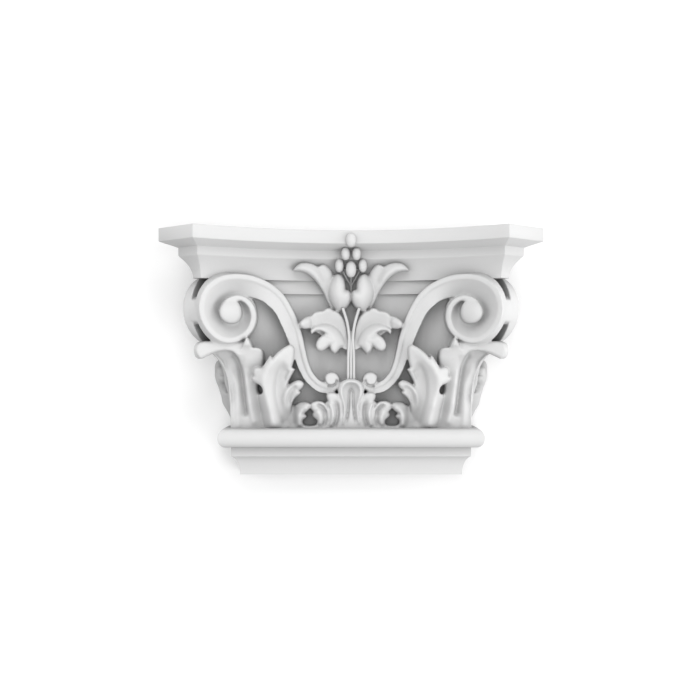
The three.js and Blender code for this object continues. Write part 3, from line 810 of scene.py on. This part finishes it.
def base_shell():
    rows = [(BOTTOM, FOOT_X)]
    for t in np.linspace(0.0, 1.0, 13)[1:]:
        out = 1 - math.sqrt(1 - t * t * CAVETTO_SWEEP)
        reach = FOOT_X + (FOOT_FILLET_X - FOOT_X) * out / CAVETTO_OUT
        rows.append((BOTTOM + CAVETTO_HEIGHT * t, reach))
    fillet_top = BOTTOM + CAVETTO_HEIGHT + FOOT_FILLET_HEIGHT
    rows.append((fillet_top, FOOT_FILLET_X))
    half = TORUS_HEIGHT / 2
    straight = TORUS_X - half + TORUS_FLAT / 2
    for angle in np.linspace(0.0, math.pi, 25):
        reach = (half - TORUS_FLAT / 2) * math.sin(angle)
        rows.append((fillet_top + half * (1 - math.cos(angle)), straight + reach))
    front = np.zeros((2, len(rows), 3))
    back = np.zeros((2, len(rows), 3))
    for v, (z, reach) in enumerate(rows):
        for u, side in enumerate((-1, 1)):
            front[u, v] = (side * reach, -(reach - AXIS_TO_BACK), z)
            back[u, v] = (side * reach, PAST_BACK, z)
    return lattice(front, back)


# Volute, scroll and corner leaf

def volute_back(x, z):
    """The disc of the volute is thin at its rim, and its stalk runs back into the bell."""
    thin = relief_depth(x, z) - VOLUTE_THICK
    free = smooth((x - FREE_FROM_X[0]) / FREE_FROM_X[1])
    back = BURIED * (1 - free) + thin * free
    return np.minimum(np.maximum(back, BURIED), relief_depth(x, z) - 3)


def volute_shells(sizes):
    steps = int(VOLUTE_STEPS * sizes.fineness)
    share = np.linspace(0.0, 1.0, steps + 1)
    outer = along(VOLUTE_OUTER, share)
    inner = along(VOLUTE_INNER, share)
    width = np.hypot(*(outer - inner).T)
    rim = np.minimum(sizes.rim_width / MM, width * 0.5)
    cells = [("rim", t) for t in RIM_ROWS]
    cells += [("hollow", t) for t in np.linspace(0.12, 1.0, HOLLOW_ROWS)]
    curl = smooth((share - CURL[0]) / CURL[1])
    turn = smooth((share - LAST_TURN[0]) / LAST_TURN[1])
    front = np.zeros((steps + 1, len(cells), 3))
    back = np.zeros((steps + 1, len(cells), 3))
    for v, (kind, t) in enumerate(cells):
        reach = rim * t if kind == "rim" else rim + (width - rim) * t
        part = (reach / width)[:, None]
        p = outer + (inner - outer) * part
        x, z = p[:, 0], p[:, 1]
        c = np.clip((reach - rim) / np.maximum(width - rim, 1e-3), 0.0, 1.0)
        hollow = sizes.channel / MM * (0.8 * (1 - (1 - c) ** 2) + 0.2 * c ** 1.7)
        shallow = STALK_SINK * smooth(c / 0.12) * (1 - 0.7 * c)
        sink = shallow * (1 - curl) + hollow * curl
        edge = rounded(np.minimum(reach, np.maximum(rim - reach, 0) + 0.5), RIM_ROUND)
        lift = RIM_RISE + RIM_RISE * turn * (1 - c) - np.where(reach <= rim, edge, 0.0) - sink
        front[:, v] = placed(x, relief_depth(x, z) + lift, z)
        flare = SKIRT * smooth((outer[:, 0] - SKIRT_FROM_X[0]) / SKIRT_FROM_X[1])
        flare *= smooth((SKIRT_END[0] - share) / SKIRT_END[1])
        out = outer - np.array(EYE)
        out *= (flare * (1 - np.clip(part[:, 0], 0, 1)) ** 2 / np.hypot(*out.T))[:, None]
        back[:, v] = placed(x + out[:, 0], volute_back(x, z), z + out[:, 1])
    ribbon = lattice(front, back)

    def eye_surface(x, z, edge):
        r = np.hypot(x - EYE[0], z - EYE[1])
        dome = EYE_DOME * np.clip(1 - (r / EYE_DOME_REACH) ** 2, 0.0, 1.0)
        return relief_depth(x, z) + EYE_RISE + dome - rounded(edge, EYE_ROUND)
    eye = sheet(EYE_RUNS, eye_surface, sizes.net / MM, hard=(2,))
    angle = np.linspace(0, 2 * math.pi, 49)[:-1]
    ring = [(EYE[0] + WEB_RADIUS * math.cos(a), EYE[1] + WEB_RADIUS * math.sin(a)) for a in angle]
    sink = sizes.channel / MM - WEB_RISE
    web = sheet([ring[1:] + ring[:1]], lambda x, z, edge: relief_depth(x, z) - sink, 3.0)
    return [ribbon, eye, web]


def bridge_shell():
    """Filling in the angle between the two volutes of a corner, bowed between its slots."""
    levels = np.linspace(-1.0, 1.0, 41)
    across = np.linspace(-1.0, 1.0, 13)
    front = np.zeros((len(across), len(levels), 3))
    back = np.zeros((len(across), len(levels), 3))
    for v, level in enumerate(levels):
        z = BRIDGE_MIDDLE + level * BRIDGE_HALF
        rim = BRIDGE_RIM - BRIDGE_BOW * (z - BRIDGE_MIDDLE) ** 2 - 3.0 * smooth((abs(level) - 0.75) / 0.25)
        for u, w in enumerate(across):
            side = BRIDGE_HALF_WIDTH * w
            front[u, v] = (rim - side, -(rim + side - AXIS_TO_BACK), z)
            rear = rim - BRIDGE_DEEP
            back[u, v] = (rear - side, -(rear + side - AXIS_TO_BACK), z)
    return lattice(front, back)


def scroll_shell(sizes):
    def surface(x, z, edge):
        r = np.hypot(x - SCROLL[0], z - SCROLL[1])
        low = smooth((SCROLL_LOW[0] - z) / SCROLL_LOW[1])
        low *= smooth((r - SCROLL_LOW_RADIUS[0]) / SCROLL_LOW_RADIUS[1])
        ball = SCROLL_BALL * (1 - low * (0.35 + 0.65 * smooth((x - 14.0) / 10.0)))
        crease, _, _ = to_line(x, z, spline(SCROLL_CREASE, 1.0))
        groove = SCROLL_GROOVE * np.exp(-(crease / SCROLL_GROOVE_WIDTH) ** 2)
        return relief_depth(x, z) + SCROLL_RISE + ball - groove - rounded(edge, SCROLL_ROUND)
    return sheet(SCROLL_RUNS, surface, sizes.net / MM, hard=(1, 2))


def arm_depth(x, z):
    rib = np.interp(z, RIB_Z, RIB_X)
    slope = np.interp(z, ARM_SLOPE_Z, ARM_SLOPE)
    return rib - AXIS_TO_BACK - (rib - x) * slope


def corner_leaf_shells(sizes):
    def arm(x, z, edge):
        depth = arm_depth(x, z) + lifted(x, z, ARM_LIFT) + marks(x, z, ARM_MARKS)
        return depth - rounded(edge, ARM_ROUND)

    def lip(x, z, edge):
        level = np.full(len(x), LIP_LEVEL)
        fall = np.clip(LIP_FALL_TOP - z, 0.0, 20.0) * smooth((LIP_FALL_X[0] - x) / LIP_FALL_X[1])
        return arm_depth(x, level) + LIP_FORWARD - LIP_FALL * fall - rounded(edge, LIP_ROUND)
    net = sizes.net / MM
    return [sheet(ARM_RUNS, arm, net, hard=ARM_HARD), sheet(LIP_RUNS, lip, net, hard=(2,))]


def leaf_shell(name, sizes):
    leaf = LEAVES[name]
    crown, reach = leaf["crown"]

    def surface(x, z, edge):
        swell = crown * (1 - np.exp(-edge / reach))
        height = lifted(x, z, leaf["lift"]) + marks(x, z, leaf.get("marks", ())) + swell
        return relief_depth(x, z) + height - rounded(edge, leaf["round"])
    return sheet(leaf["runs"], surface, sizes.net / MM, hard=leaf.get("hard", ()))


# Node trees for what repeats or follows a path

def add_sockets(tree, way, rows):
    """Sockets of a group, as label, kind and default value."""
    for label, kind, value in rows:
        socket = tree.interface.new_socket(label, in_out=way, socket_type="NodeSocket" + kind)
        if value is not None:
            socket.default_value = value


def new_tree(name, inputs):
    tree = bpy.data.node_groups.new(name, "GeometryNodeTree")
    add_sockets(tree, "INPUT", [("Geometry", "Geometry", None), *inputs])
    add_sockets(tree, "OUTPUT", [("Geometry", "Geometry", None)])
    return tree


def add_node(tree, kind, x, y, inputs=None, **settings):
    """One node at its place, with its settings and the values of its open inputs."""
    node = tree.nodes.new(kind)
    node.location = (x, y)
    for key, value in settings.items():
        setattr(node, key, value)
    fill_inputs(node, inputs or {})
    return node


def fill_inputs(node, values):
    for key, value in values.items():
        node.inputs[key].default_value = value


def joined(tree, rows):
    """Links, as node and output, then node and input."""
    for source, out, target, into in rows:
        tree.links.new(source.outputs[out], target.inputs[into])


def coated(tree, source, last, out, x):
    """End of a tree: real faces in the material that its input names."""
    real = add_node(tree, "GeometryNodeRealizeInstances", x, 0)
    coat = add_node(tree, "GeometryNodeSetMaterial", x + 200, 0)
    sink = add_node(tree, "NodeGroupOutput", x + 400, 0)
    joined(tree, [
        (last, out, real, "Geometry"),
        (real, "Geometry", coat, "Geometry"),
        (source, "Material", coat, "Material"),
        (coat, "Geometry", sink, "Geometry"),
    ])


def set_inputs(piece, tree, values):
    modifier = piece.modifiers.new(tree.name, "NODES")
    modifier.node_group = tree
    for item in tree.interface.items_tree:
        if item.item_type == "SOCKET" and item.in_out == "INPUT" and item.name in values:
            modifier[item.identifier] = values[item.name]


def stem_tree():
    """Round stems along the edges of a wire, as thick as its vertices say."""
    tree = new_tree("stems", [
        ("Thickness", "Float", 1.0), ("Sides", "Int", 10), ("Material", "Material", None)])
    source = add_node(tree, "NodeGroupInput", -800, 0)
    curve = add_node(tree, "GeometryNodeMeshToCurve", -600, 0)
    radius = add_node(tree, "GeometryNodeInputNamedAttribute", -600, -200, {"Name": "radius_mm"},
                      data_type="FLOAT")
    scale = add_node(tree, "ShaderNodeMath", -420, -200, operation="MULTIPLY")
    set_radius = add_node(tree, "GeometryNodeSetCurveRadius", -400, 0)
    circle = add_node(tree, "GeometryNodeCurvePrimitiveCircle", -400, -400, {"Radius": MM})
    tube = add_node(tree, "GeometryNodeCurveToMesh", -200, 0, {"Fill Caps": True})
    joined(tree, [
        (source, "Geometry", curve, "Mesh"),
        (radius, "Attribute", scale, 0),
        (source, "Thickness", scale, 1),
        (curve, "Curve", set_radius, "Curve"),
        (scale, "Value", set_radius, "Radius"),
        (source, "Sides", circle, "Resolution"),
        (set_radius, "Curve", tube, "Curve"),
        (circle, "Curve", tube, "Profile Curve"),
    ])
    if "Scale" in tube.inputs:
        joined(tree, [(scale, "Value", tube, "Scale")])
    coated(tree, source, tube, "Mesh", 0)
    return tree


def berry_tree():
    """One rounded berry on each point, sized by the point's own attribute."""
    tree = new_tree("berries", [
        ("Plumpness", "Float", 1.0), ("Roundness", "Int", 3), ("Material", "Material", None)])
    source = add_node(tree, "NodeGroupInput", -900, 0)
    cube = add_node(tree, "GeometryNodeMeshCube", -900, -250, {
        "Size": (2.0, 2.0, 2.0), "Vertices X": 2, "Vertices Y": 2, "Vertices Z": 2})
    round_off = add_node(tree, "GeometryNodeSubdivisionSurface", -700, -250)
    box = add_node(tree, "GeometryNodeBoundBox", -500, -400)
    unit = add_node(tree, "ShaderNodeVectorMath", -320, -400, {0: (1.0, 1.0, 1.0)},
                    operation="DIVIDE")
    fit = add_node(tree, "GeometryNodeTransform", -150, -250)
    size = add_node(tree, "GeometryNodeInputNamedAttribute", -500, -600, {"Name": "berry_size"},
                    data_type="FLOAT_VECTOR")
    plump = add_node(tree, "ShaderNodeVectorMath", -320, -600, operation="SCALE")
    seat = add_node(tree, "GeometryNodeInstanceOnPoints", 50, 0)
    joined(tree, [
        (cube, "Mesh", round_off, "Mesh"),
        (source, "Roundness", round_off, "Level"),
        (round_off, "Mesh", box, "Geometry"),
        (box, "Max", unit, 1),
        (round_off, "Mesh", fit, "Geometry"),
        (unit, "Vector", fit, "Scale"),
        (size, "Attribute", plump, 0),
        (source, "Plumpness", plump, "Scale"),
        (source, "Geometry", seat, "Points"),
        (fit, "Geometry", seat, "Instance"),
        (plump, "Vector", seat, "Scale"),
    ])
    coated(tree, source, seat, "Instances", 250)
    return tree


def seeds(name, points, edges, attribute, kind, values):
    """Points, and edges between them, that a node tree grows a piece on."""
    mesh = bpy.data.meshes.new(name)
    mesh.from_pydata((np.array(points) * MM).tolist(), edges, [])
    layer = mesh.attributes.new(attribute, kind, "POINT")
    layer.data.foreach_set("value" if kind == "FLOAT" else "vector", np.ravel(values))
    piece = bpy.data.objects.new(name, mesh)
    bpy.context.scene.collection.objects.link(piece)
    return piece


# Material

GRAIN_HEIGHT = 0.0002


def grain_group():
    """Fine casting grain and faint clouding of plaster."""
    name = "plaster_grain"
    if name in bpy.data.node_groups:
        return bpy.data.node_groups[name]
    group = bpy.data.node_groups.new(name, "ShaderNodeTree")
    add_sockets(group, "INPUT", [
        ("Vector", "Vector", None),
        ("Cloud scale", "Float", 22.0),
        ("Grain scale", "Float", 900.0),
        ("Cloud depth", "Float", 0.02),
        ("Tone", "Color", (0.8, 0.8, 0.8, 1.0)),
    ])
    add_sockets(group, "OUTPUT", [
        ("Color", "Color", None), ("Roughness", "Float", None), ("Height", "Float", None)])
    source = add_node(group, "NodeGroupInput", -900, 0)
    cloud = add_node(group, "ShaderNodeTexNoise", -650, 200, {"Detail": 3.0})
    grain = add_node(group, "ShaderNodeTexNoise", -650, -200, {"Detail": 4.0})
    swing = add_node(group, "ShaderNodeMapRange", -420, 200, {"To Min": -1.0, "To Max": 1.0})
    amount = add_node(group, "ShaderNodeMath", -240, 200, operation="MULTIPLY")
    shift = add_node(group, "ShaderNodeMath", -80, 200, {1: 1.0}, operation="ADD")
    colour = add_node(group, "ShaderNodeVectorMath", 80, 120, operation="SCALE")
    rough = add_node(group, "ShaderNodeMapRange", -240, -100, {"To Min": 0.72, "To Max": 0.92})
    sink = add_node(group, "NodeGroupOutput", 300, 0)
    joined(group, [
        (source, "Vector", cloud, "Vector"),
        (source, "Vector", grain, "Vector"),
        (source, "Cloud scale", cloud, "Scale"),
        (source, "Grain scale", grain, "Scale"),
        (cloud, "Fac", swing, "Value"),
        (swing, "Result", amount, 0),
        (source, "Cloud depth", amount, 1),
        (amount, "Value", shift, 0),
        (source, "Tone", colour, 0),
        (shift, "Value", colour, "Scale"),
        (grain, "Fac", rough, "Value"),
        (colour, "Vector", sink, "Color"),
        (rough, "Result", sink, "Roughness"),
        (grain, "Fac", sink, "Height"),
    ])
    return group


def painted_shade_group():
    """Painted shade: darkens the plaster colour in the hollows of the carving, as far as ambient occlusion
    reaches.
    """
    name = "crevice_shade"
    if name in bpy.data.node_groups:
        return bpy.data.node_groups[name]
    group = bpy.data.node_groups.new(name, "ShaderNodeTree")
    add_sockets(group, "INPUT", [("Reach", "Float", 0.03), ("Depth", "Float", 0.5)])
    add_sockets(group, "OUTPUT", [("Open", "Float", None)])
    source = add_node(group, "NodeGroupInput", -600, 0)
    near = add_node(group, "ShaderNodeAmbientOcclusion", -400, 100, samples=8)
    least = add_node(group, "ShaderNodeMath", -400, -150, {0: 1.0}, operation="SUBTRACT")
    spread = add_node(group, "ShaderNodeMapRange", -200, 0)
    sink = add_node(group, "NodeGroupOutput", 0, 0)
    joined(group, [
        (source, "Reach", near, "Distance"),
        (source, "Depth", least, 1),
        (near, "AO", spread, "Value"),
        (least, "Value", spread, "To Min"),
        (spread, "Result", sink, "Open"),
    ])
    return group


def plaster_material():
    """White plaster, made once, on the coordinates of each piece, with painted shade darkening its colour
    in the hollows.
    """
    name = "cast_plaster"
    if name in bpy.data.materials:
        return bpy.data.materials[name]
    finish = bpy.context.scene.capital_finish
    material = bpy.data.materials.new(name)
    material.use_nodes = True
    tree = material.node_tree
    shader = tree.nodes["Principled BSDF"]
    shader.inputs["Specular IOR Level"].default_value = 0.25
    where = add_node(tree, "ShaderNodeTexCoord", -900, 0)
    cast = add_node(tree, "ShaderNodeGroup", -650, 0, {
        "Tone": (*finish.tone, 1.0), "Cloud depth": finish.clouding}, node_tree=grain_group())
    bump = add_node(tree, "ShaderNodeBump", -350, -250, {
        "Strength": finish.grain, "Distance": GRAIN_HEIGHT})
    painted_shade_node = add_node(tree, "ShaderNodeGroup", -650, 300, {
        "Reach": finish.painted_shade_reach, "Depth": finish.painted_shade}, node_tree=painted_shade_group())
    # Painted shade: the plaster colour is scaled down where the surface is occluded.
    shaded = add_node(tree, "ShaderNodeVectorMath", -300, 150, operation="SCALE")
    joined(tree, [
        (where, "Object", cast, "Vector"),
        (cast, "Color", shaded, 0),
        (painted_shade_node, "Open", shaded, "Scale"),
        (shaded, "Vector", shader, "Base Color"),
        (cast, "Roughness", shader, "Roughness"),
        (cast, "Height", bump, "Height"),
        (bump, "Normal", shader, "Normal"),
    ])
    return material


# Sizes and colours

def length(name, description, default, low, high):
    return FloatProperty(name=name, description=description, default=default, min=low, max=high,
                         subtype="DISTANCE", unit="LENGTH")


def factor(name, description, default, low=0.0, high=1.0, subtype="FACTOR"):
    return FloatProperty(name=name, description=description, default=default, min=low, max=high,
                         subtype=subtype)


def colour(name, description, grey):
    return FloatVectorProperty(name=name, description=description, subtype="COLOR", size=3,
                               default=(grey, grey, grey), min=0.0, max=1.0)


class CapitalSizes(PropertyGroup):
    """Sizes of the model and of its net"""
    net: length("Net pitch", "Spacing of the net that the leaves are carved on",
                0.0012, 0.0006, 0.004)
    voxel: length("Casting grain", "Size of detail kept when the carving is fused",
                  0.0009, 0.0006, 0.004)
    soften: IntProperty(
        name="Soften", description="Rounds of smoothing of the fused carving", default=1,
        min=0, max=12)
    fineness: factor("Fineness", "Share of the full number of steps along the volute",
                     1.0, 0.2, 2.0, "NONE")
    budget: IntProperty(
        name="Triangles", description="Most triangles in the carving", default=190000,
        min=20000, max=198000)
    rim_width: length("Volute rim", "Width of the flat rim of the volute", 0.0052, 0.002, 0.01)
    channel: length("Channel depth", "How deep the channel of the volute sinks", 0.011, 0.0, 0.02)
    stem: factor("Stem thickness", "Factor on the thickness of the thin stems",
                 1.0, 0.5, 2.0, "NONE")
    berry: factor("Berry plumpness", "Factor on the size of the berries", 1.0, 0.5, 1.5, "NONE")
    bevel: length("Arris", "Width of the soft arris on the mouldings", 0.0006, 0.0, 0.003)


class CapitalFinish(PropertyGroup):
    """Colours, shade and light"""
    tone: colour("Plaster", "Colour of the plaster", 0.69)
    clouding: factor("Clouding", "How much the plaster's tone wanders", 0.015, high=0.2)
    grain: factor("Grain", "Strength of the fine casting grain", 0.12)
    # Painted shade: how much the plaster colour is darkened in its hollows, and over what distance.
    painted_shade: factor("Crevice shade", "How much the plaster darkens in its hollows", 0.58)
    painted_shade_reach: length("Shade reach", "Distance over which a hollow gathers shade",
                        0.055, 0.001, 0.2)
    wall: colour("Wall", "Colour of the wall behind", 0.82)
    glow: FloatProperty(
        name="Wall glow", description="Even light of the backdrop itself", default=0.2, min=0.0)
    key: FloatProperty(
        name="Key light", description="Power of the soft key light", default=11.5, min=0.0,
        unit="POWER")
    sky: FloatProperty(
        name="Fill light", description="Strength of the even light all round", default=0.42,
        min=0.0)


# One operator for each piece or group

class CAPITAL_OT_mouldings(Operator):
    """Make the abacus with the band under it, and the base, as crisp mouldings"""
    bl_idname = "capital.mouldings"
    bl_label = "Abacus and base"

    def execute(self, context):
        sizes = context.scene.capital_sizes
        parts = (("abacus", [abacus_shell()]), ("band", [band_shell()]), ("base", [base_shell()]))
        for name, shells in parts:
            piece = mesh_object(name, shells)
            if name != "base":
                arris = piece.modifiers.new("Arris", "BEVEL")
                arris.width = sizes.bevel
                arris.segments = 2
                arris.limit_method = "ANGLE"
                arris.angle_limit = math.radians(ARRIS_ANGLE)
                baked(piece)
            cut_to_room(piece, clear=BAND_CLEAR if name == "band" else 0.0)
            finish_piece(piece, MOULDING_SHARP)
        return {"FINISHED"}


class CAPITAL_OT_bell(Operator):
    """Model the bell that the carving grows from"""
    bl_idname = "capital.bell"
    bl_label = "Bell"

    def execute(self, context):
        MOULDS["bell"] = [bell_shell()]
        return {"FINISHED"}


class CAPITAL_OT_volutes(Operator):
    """Model the corner volutes with their stalks and the small scrolls"""
    bl_idname = "capital.volutes"
    bl_label = "Volutes"

    def execute(self, context):
        sizes = context.scene.capital_sizes
        volutes = volute_shells(sizes)
        volutes += [flipped(shell, diagonal) for shell in volutes]
        MOULDS["volutes"] = volutes + [bridge_shell(), scroll_shell(sizes)]
        return {"FINISHED"}


class CAPITAL_OT_corner_leaves(Operator):
    """Model the leaf that flares round each corner under the volute"""
    bl_idname = "capital.corner_leaves"
    bl_label = "Corner leaves"

    def execute(self, context):
        shells = corner_leaf_shells(context.scene.capital_sizes)
        MOULDS["corner_leaves"] = shells + [flipped(shell, diagonal) for shell in shells]
        return {"FINISHED"}


class CAPITAL_OT_leaves(Operator):
    """Model the leaves of the front and of the side returns"""
    bl_idname = "capital.leaves"
    bl_label = "Leaves and buds"

    def execute(self, context):
        sizes = context.scene.capital_sizes
        once, right = [], []
        for name in LEAVES:
            shell = leaf_shell(name, sizes)
            (once if name in ONCE else right).append(shell)
            if name in TWICE:
                right.append(flipped(shell, diagonal))
        MOULDS["leaves"] = right
        MOULDS["middle"] = once
        return {"FINISHED"}


class CAPITAL_OT_carving(Operator):
    """Fuse bell, volutes and leaves into one soft casting, cut flat at the wall"""
    bl_idname = "capital.carving"
    bl_label = "Fuse the carving"

    def execute(self, context):
        sizes = context.scene.capital_sizes
        right = MOULDS["volutes"] + MOULDS["corner_leaves"] + MOULDS["leaves"]
        shells = MOULDS["bell"] + MOULDS["middle"] + right
        shells += [flipped(shell, left_right) for shell in right]
        carving = mesh_object("carving", shells)
        fuse = carving.modifiers.new("Fuse", "REMESH")
        fuse.mode = "VOXEL"
        fuse.voxel_size = sizes.voxel
        fuse.adaptivity = 0.0
        soften = carving.modifiers.new("Soften", "SMOOTH")
        soften.factor = 0.5
        soften.iterations = sizes.soften
        baked(carving)
        cut_to_room(carving, TORUS_TOP - CARVING_SUNK, clear=CARVING_CLEAR)
        count = sum(len(p.vertices) - 2 for p in carving.data.polygons)
        if count > sizes.budget:
            thin = carving.modifiers.new("Thin", "DECIMATE")
            thin.ratio = sizes.budget / count
            baked(carving)
        finish_piece(carving, CARVING_SHARP)
        MOULDS.clear()
        return {"FINISHED"}


class CAPITAL_OT_stems(Operator):
    """Run the thin stems up to the buds and berries"""
    bl_idname = "capital.stems"
    bl_label = "Stems"

    def execute(self, context):
        sizes = context.scene.capital_sizes
        points, edges, radii = [], [], []
        for path, radius in STEMS:
            for side in ((1, -1) if any(abs(p[0]) > 0.1 for p in path) else (1,)):
                p = spline([(side * x, z, lift) for x, z, lift in path], STEM_STEP)
                depth = relief_depth(p[:, 0], p[:, 1]) + p[:, 2]
                start = len(points)
                points += placed(p[:, 0], depth, p[:, 1]).tolist()
                edges += [(start + i, start + i + 1) for i in range(len(p) - 1)]
                radii += [radius] * len(p)
        stems = seeds("stems", points, edges, "radius_mm", "FLOAT", radii)
        set_inputs(stems, stem_tree(), {
            "Thickness": sizes.stem, "Sides": 12, "Material": plaster_material()})
        baked(stems)
        finish_piece(stems, CARVING_SHARP)
        return {"FINISHED"}


class CAPITAL_OT_berries(Operator):
    """Seat the berries in front of the abacus"""
    bl_idname = "capital.berries"
    bl_label = "Berries"

    def execute(self, context):
        sizes = context.scene.capital_sizes
        rows = []
        for x, depth, z, *half in BERRIES:
            rows += [(side * x, depth, z, *half) for side in ((1, -1) if x else (1,))]
        rows = np.array(rows)
        places = placed(rows[:, 0], rows[:, 1], rows[:, 2])
        berries = seeds("berries", places, [], "berry_size", "FLOAT_VECTOR", rows[:, 3:6] * MM)
        set_inputs(berries, berry_tree(), {
            "Plumpness": sizes.berry, "Roundness": 4, "Material": plaster_material()})
        baked(berries)
        finish_piece(berries, CARVING_SHARP)
        return {"FINISHED"}


class CAPITAL_OT_stage(Operator):
    """Set up the pale wall, the soft studio light and the camera"""
    bl_idname = "capital.stage"
    bl_label = "Stage"

    def execute(self, context):
        finish = context.scene.capital_finish
        scene = context.scene
        mesh = bpy.data.meshes.new("wall")
        profile = [(WALL_BEHIND, WALL_TOP), (WALL_BEHIND, SWEEP_TOP)]
        for angle in np.linspace(0, math.pi / 2, 9)[1:]:
            forward = SWEEP_RADIUS * (1 - math.cos(angle))
            profile.append((WALL_BEHIND - forward, SWEEP_TOP - SWEEP_RADIUS * math.sin(angle)))
        profile.append((-WALL_HALF, SWEEP_TOP - SWEEP_RADIUS))
        points = [(x, y, z) for y, z in profile for x in (-WALL_HALF, WALL_HALF)]
        faces = [(2 * i, 2 * i + 1, 2 * i + 3, 2 * i + 2) for i in range(len(profile) - 1)]
        mesh.from_pydata(points, [], faces)
        mesh.shade_smooth()
        wall = bpy.data.objects.new("wall", mesh)
        scene.collection.objects.link(wall)
        paint = bpy.data.materials.new("wall_paint")
        paint.use_nodes = True
        shader = paint.node_tree.nodes["Principled BSDF"]
        fill_inputs(shader, {
            "Base Color": (*finish.wall, 1.0), "Roughness": 0.9, "Specular IOR Level": 0.0,
            "Emission Color": (1.0, 1.0, 1.0, 1.0), "Emission Strength": finish.glow})
        wall.visible_diffuse = False
        mesh.materials.append(paint)

        for name, place, share in LAMPS:
            panel = bpy.data.lights.new(name, "AREA")
            panel.shape = "DISK"
            panel.size = LAMP_SIZE
            panel.energy = finish.key * share
            lamp = bpy.data.objects.new(name, panel)
            lamp.location = place
            lamp.rotation_euler = (-Vector(place)).to_track_quat("-Z", "Y").to_euler()
            scene.collection.objects.link(lamp)

        world = scene.world or bpy.data.worlds.new("studio")
        scene.world = world
        world.use_nodes = True
        sky = world.node_tree.nodes["Background"]
        fill_inputs(sky, {"Color": (1.0, 1.0, 1.0, 1.0), "Strength": finish.sky})

        camera = bpy.data.cameras.new("camera")
        camera.lens = CAMERA_LENS
        camera.sensor_width = 36.0
        camera.clip_start = 0.01
        eye = bpy.data.objects.new("camera", camera)
        eye.location = CAMERA_PLACE
        eye.rotation_euler = (math.pi / 2, 0.0, 0.0)
        scene.collection.objects.link(eye)
        scene.camera = eye
        scene.view_settings.view_transform = "Standard"
        return {"FINISHED"}


class CAPITAL_PT_panel(Panel):
    """Sizes, finish and the steps that make the capital"""
    bl_label = "Corinthian capital"
    bl_idname = "CAPITAL_PT_panel"
    bl_space_type = "VIEW_3D"
    bl_region_type = "UI"
    bl_category = "Capital"

    def draw(self, context):
        layout = self.layout
        for group in (context.scene.capital_sizes, context.scene.capital_finish):
            box = layout.box()
            for name in group.__annotations__:
                box.prop(group, name)
        for operator in OPERATORS:
            layout.operator(operator.bl_idname)


OPERATORS = (
    CAPITAL_OT_mouldings,
    CAPITAL_OT_bell,
    CAPITAL_OT_volutes,
    CAPITAL_OT_corner_leaves,
    CAPITAL_OT_leaves,
    CAPITAL_OT_carving,
    CAPITAL_OT_stems,
    CAPITAL_OT_berries,
    CAPITAL_OT_stage,
)
CLASSES = (CapitalSizes, CapitalFinish) + OPERATORS + (CAPITAL_PT_panel,)


def register():
    for cls in CLASSES:
        bpy.utils.register_class(cls)
    bpy.types.Scene.capital_sizes = PointerProperty(type=CapitalSizes)
    bpy.types.Scene.capital_finish = PointerProperty(type=CapitalFinish)


def unregister():
    del bpy.types.Scene.capital_finish
    del bpy.types.Scene.capital_sizes
    for cls in reversed(CLASSES):
        bpy.utils.unregister_class(cls)


def main():
    register()
    bpy.ops.capital.mouldings()
    bpy.ops.capital.bell()
    bpy.ops.capital.volutes()
    bpy.ops.capital.corner_leaves()
    bpy.ops.capital.leaves()
    bpy.ops.capital.carving()
    bpy.ops.capital.stems()
    bpy.ops.capital.berries()
    bpy.ops.capital.stage()


if __name__ == "__main__":
    main()
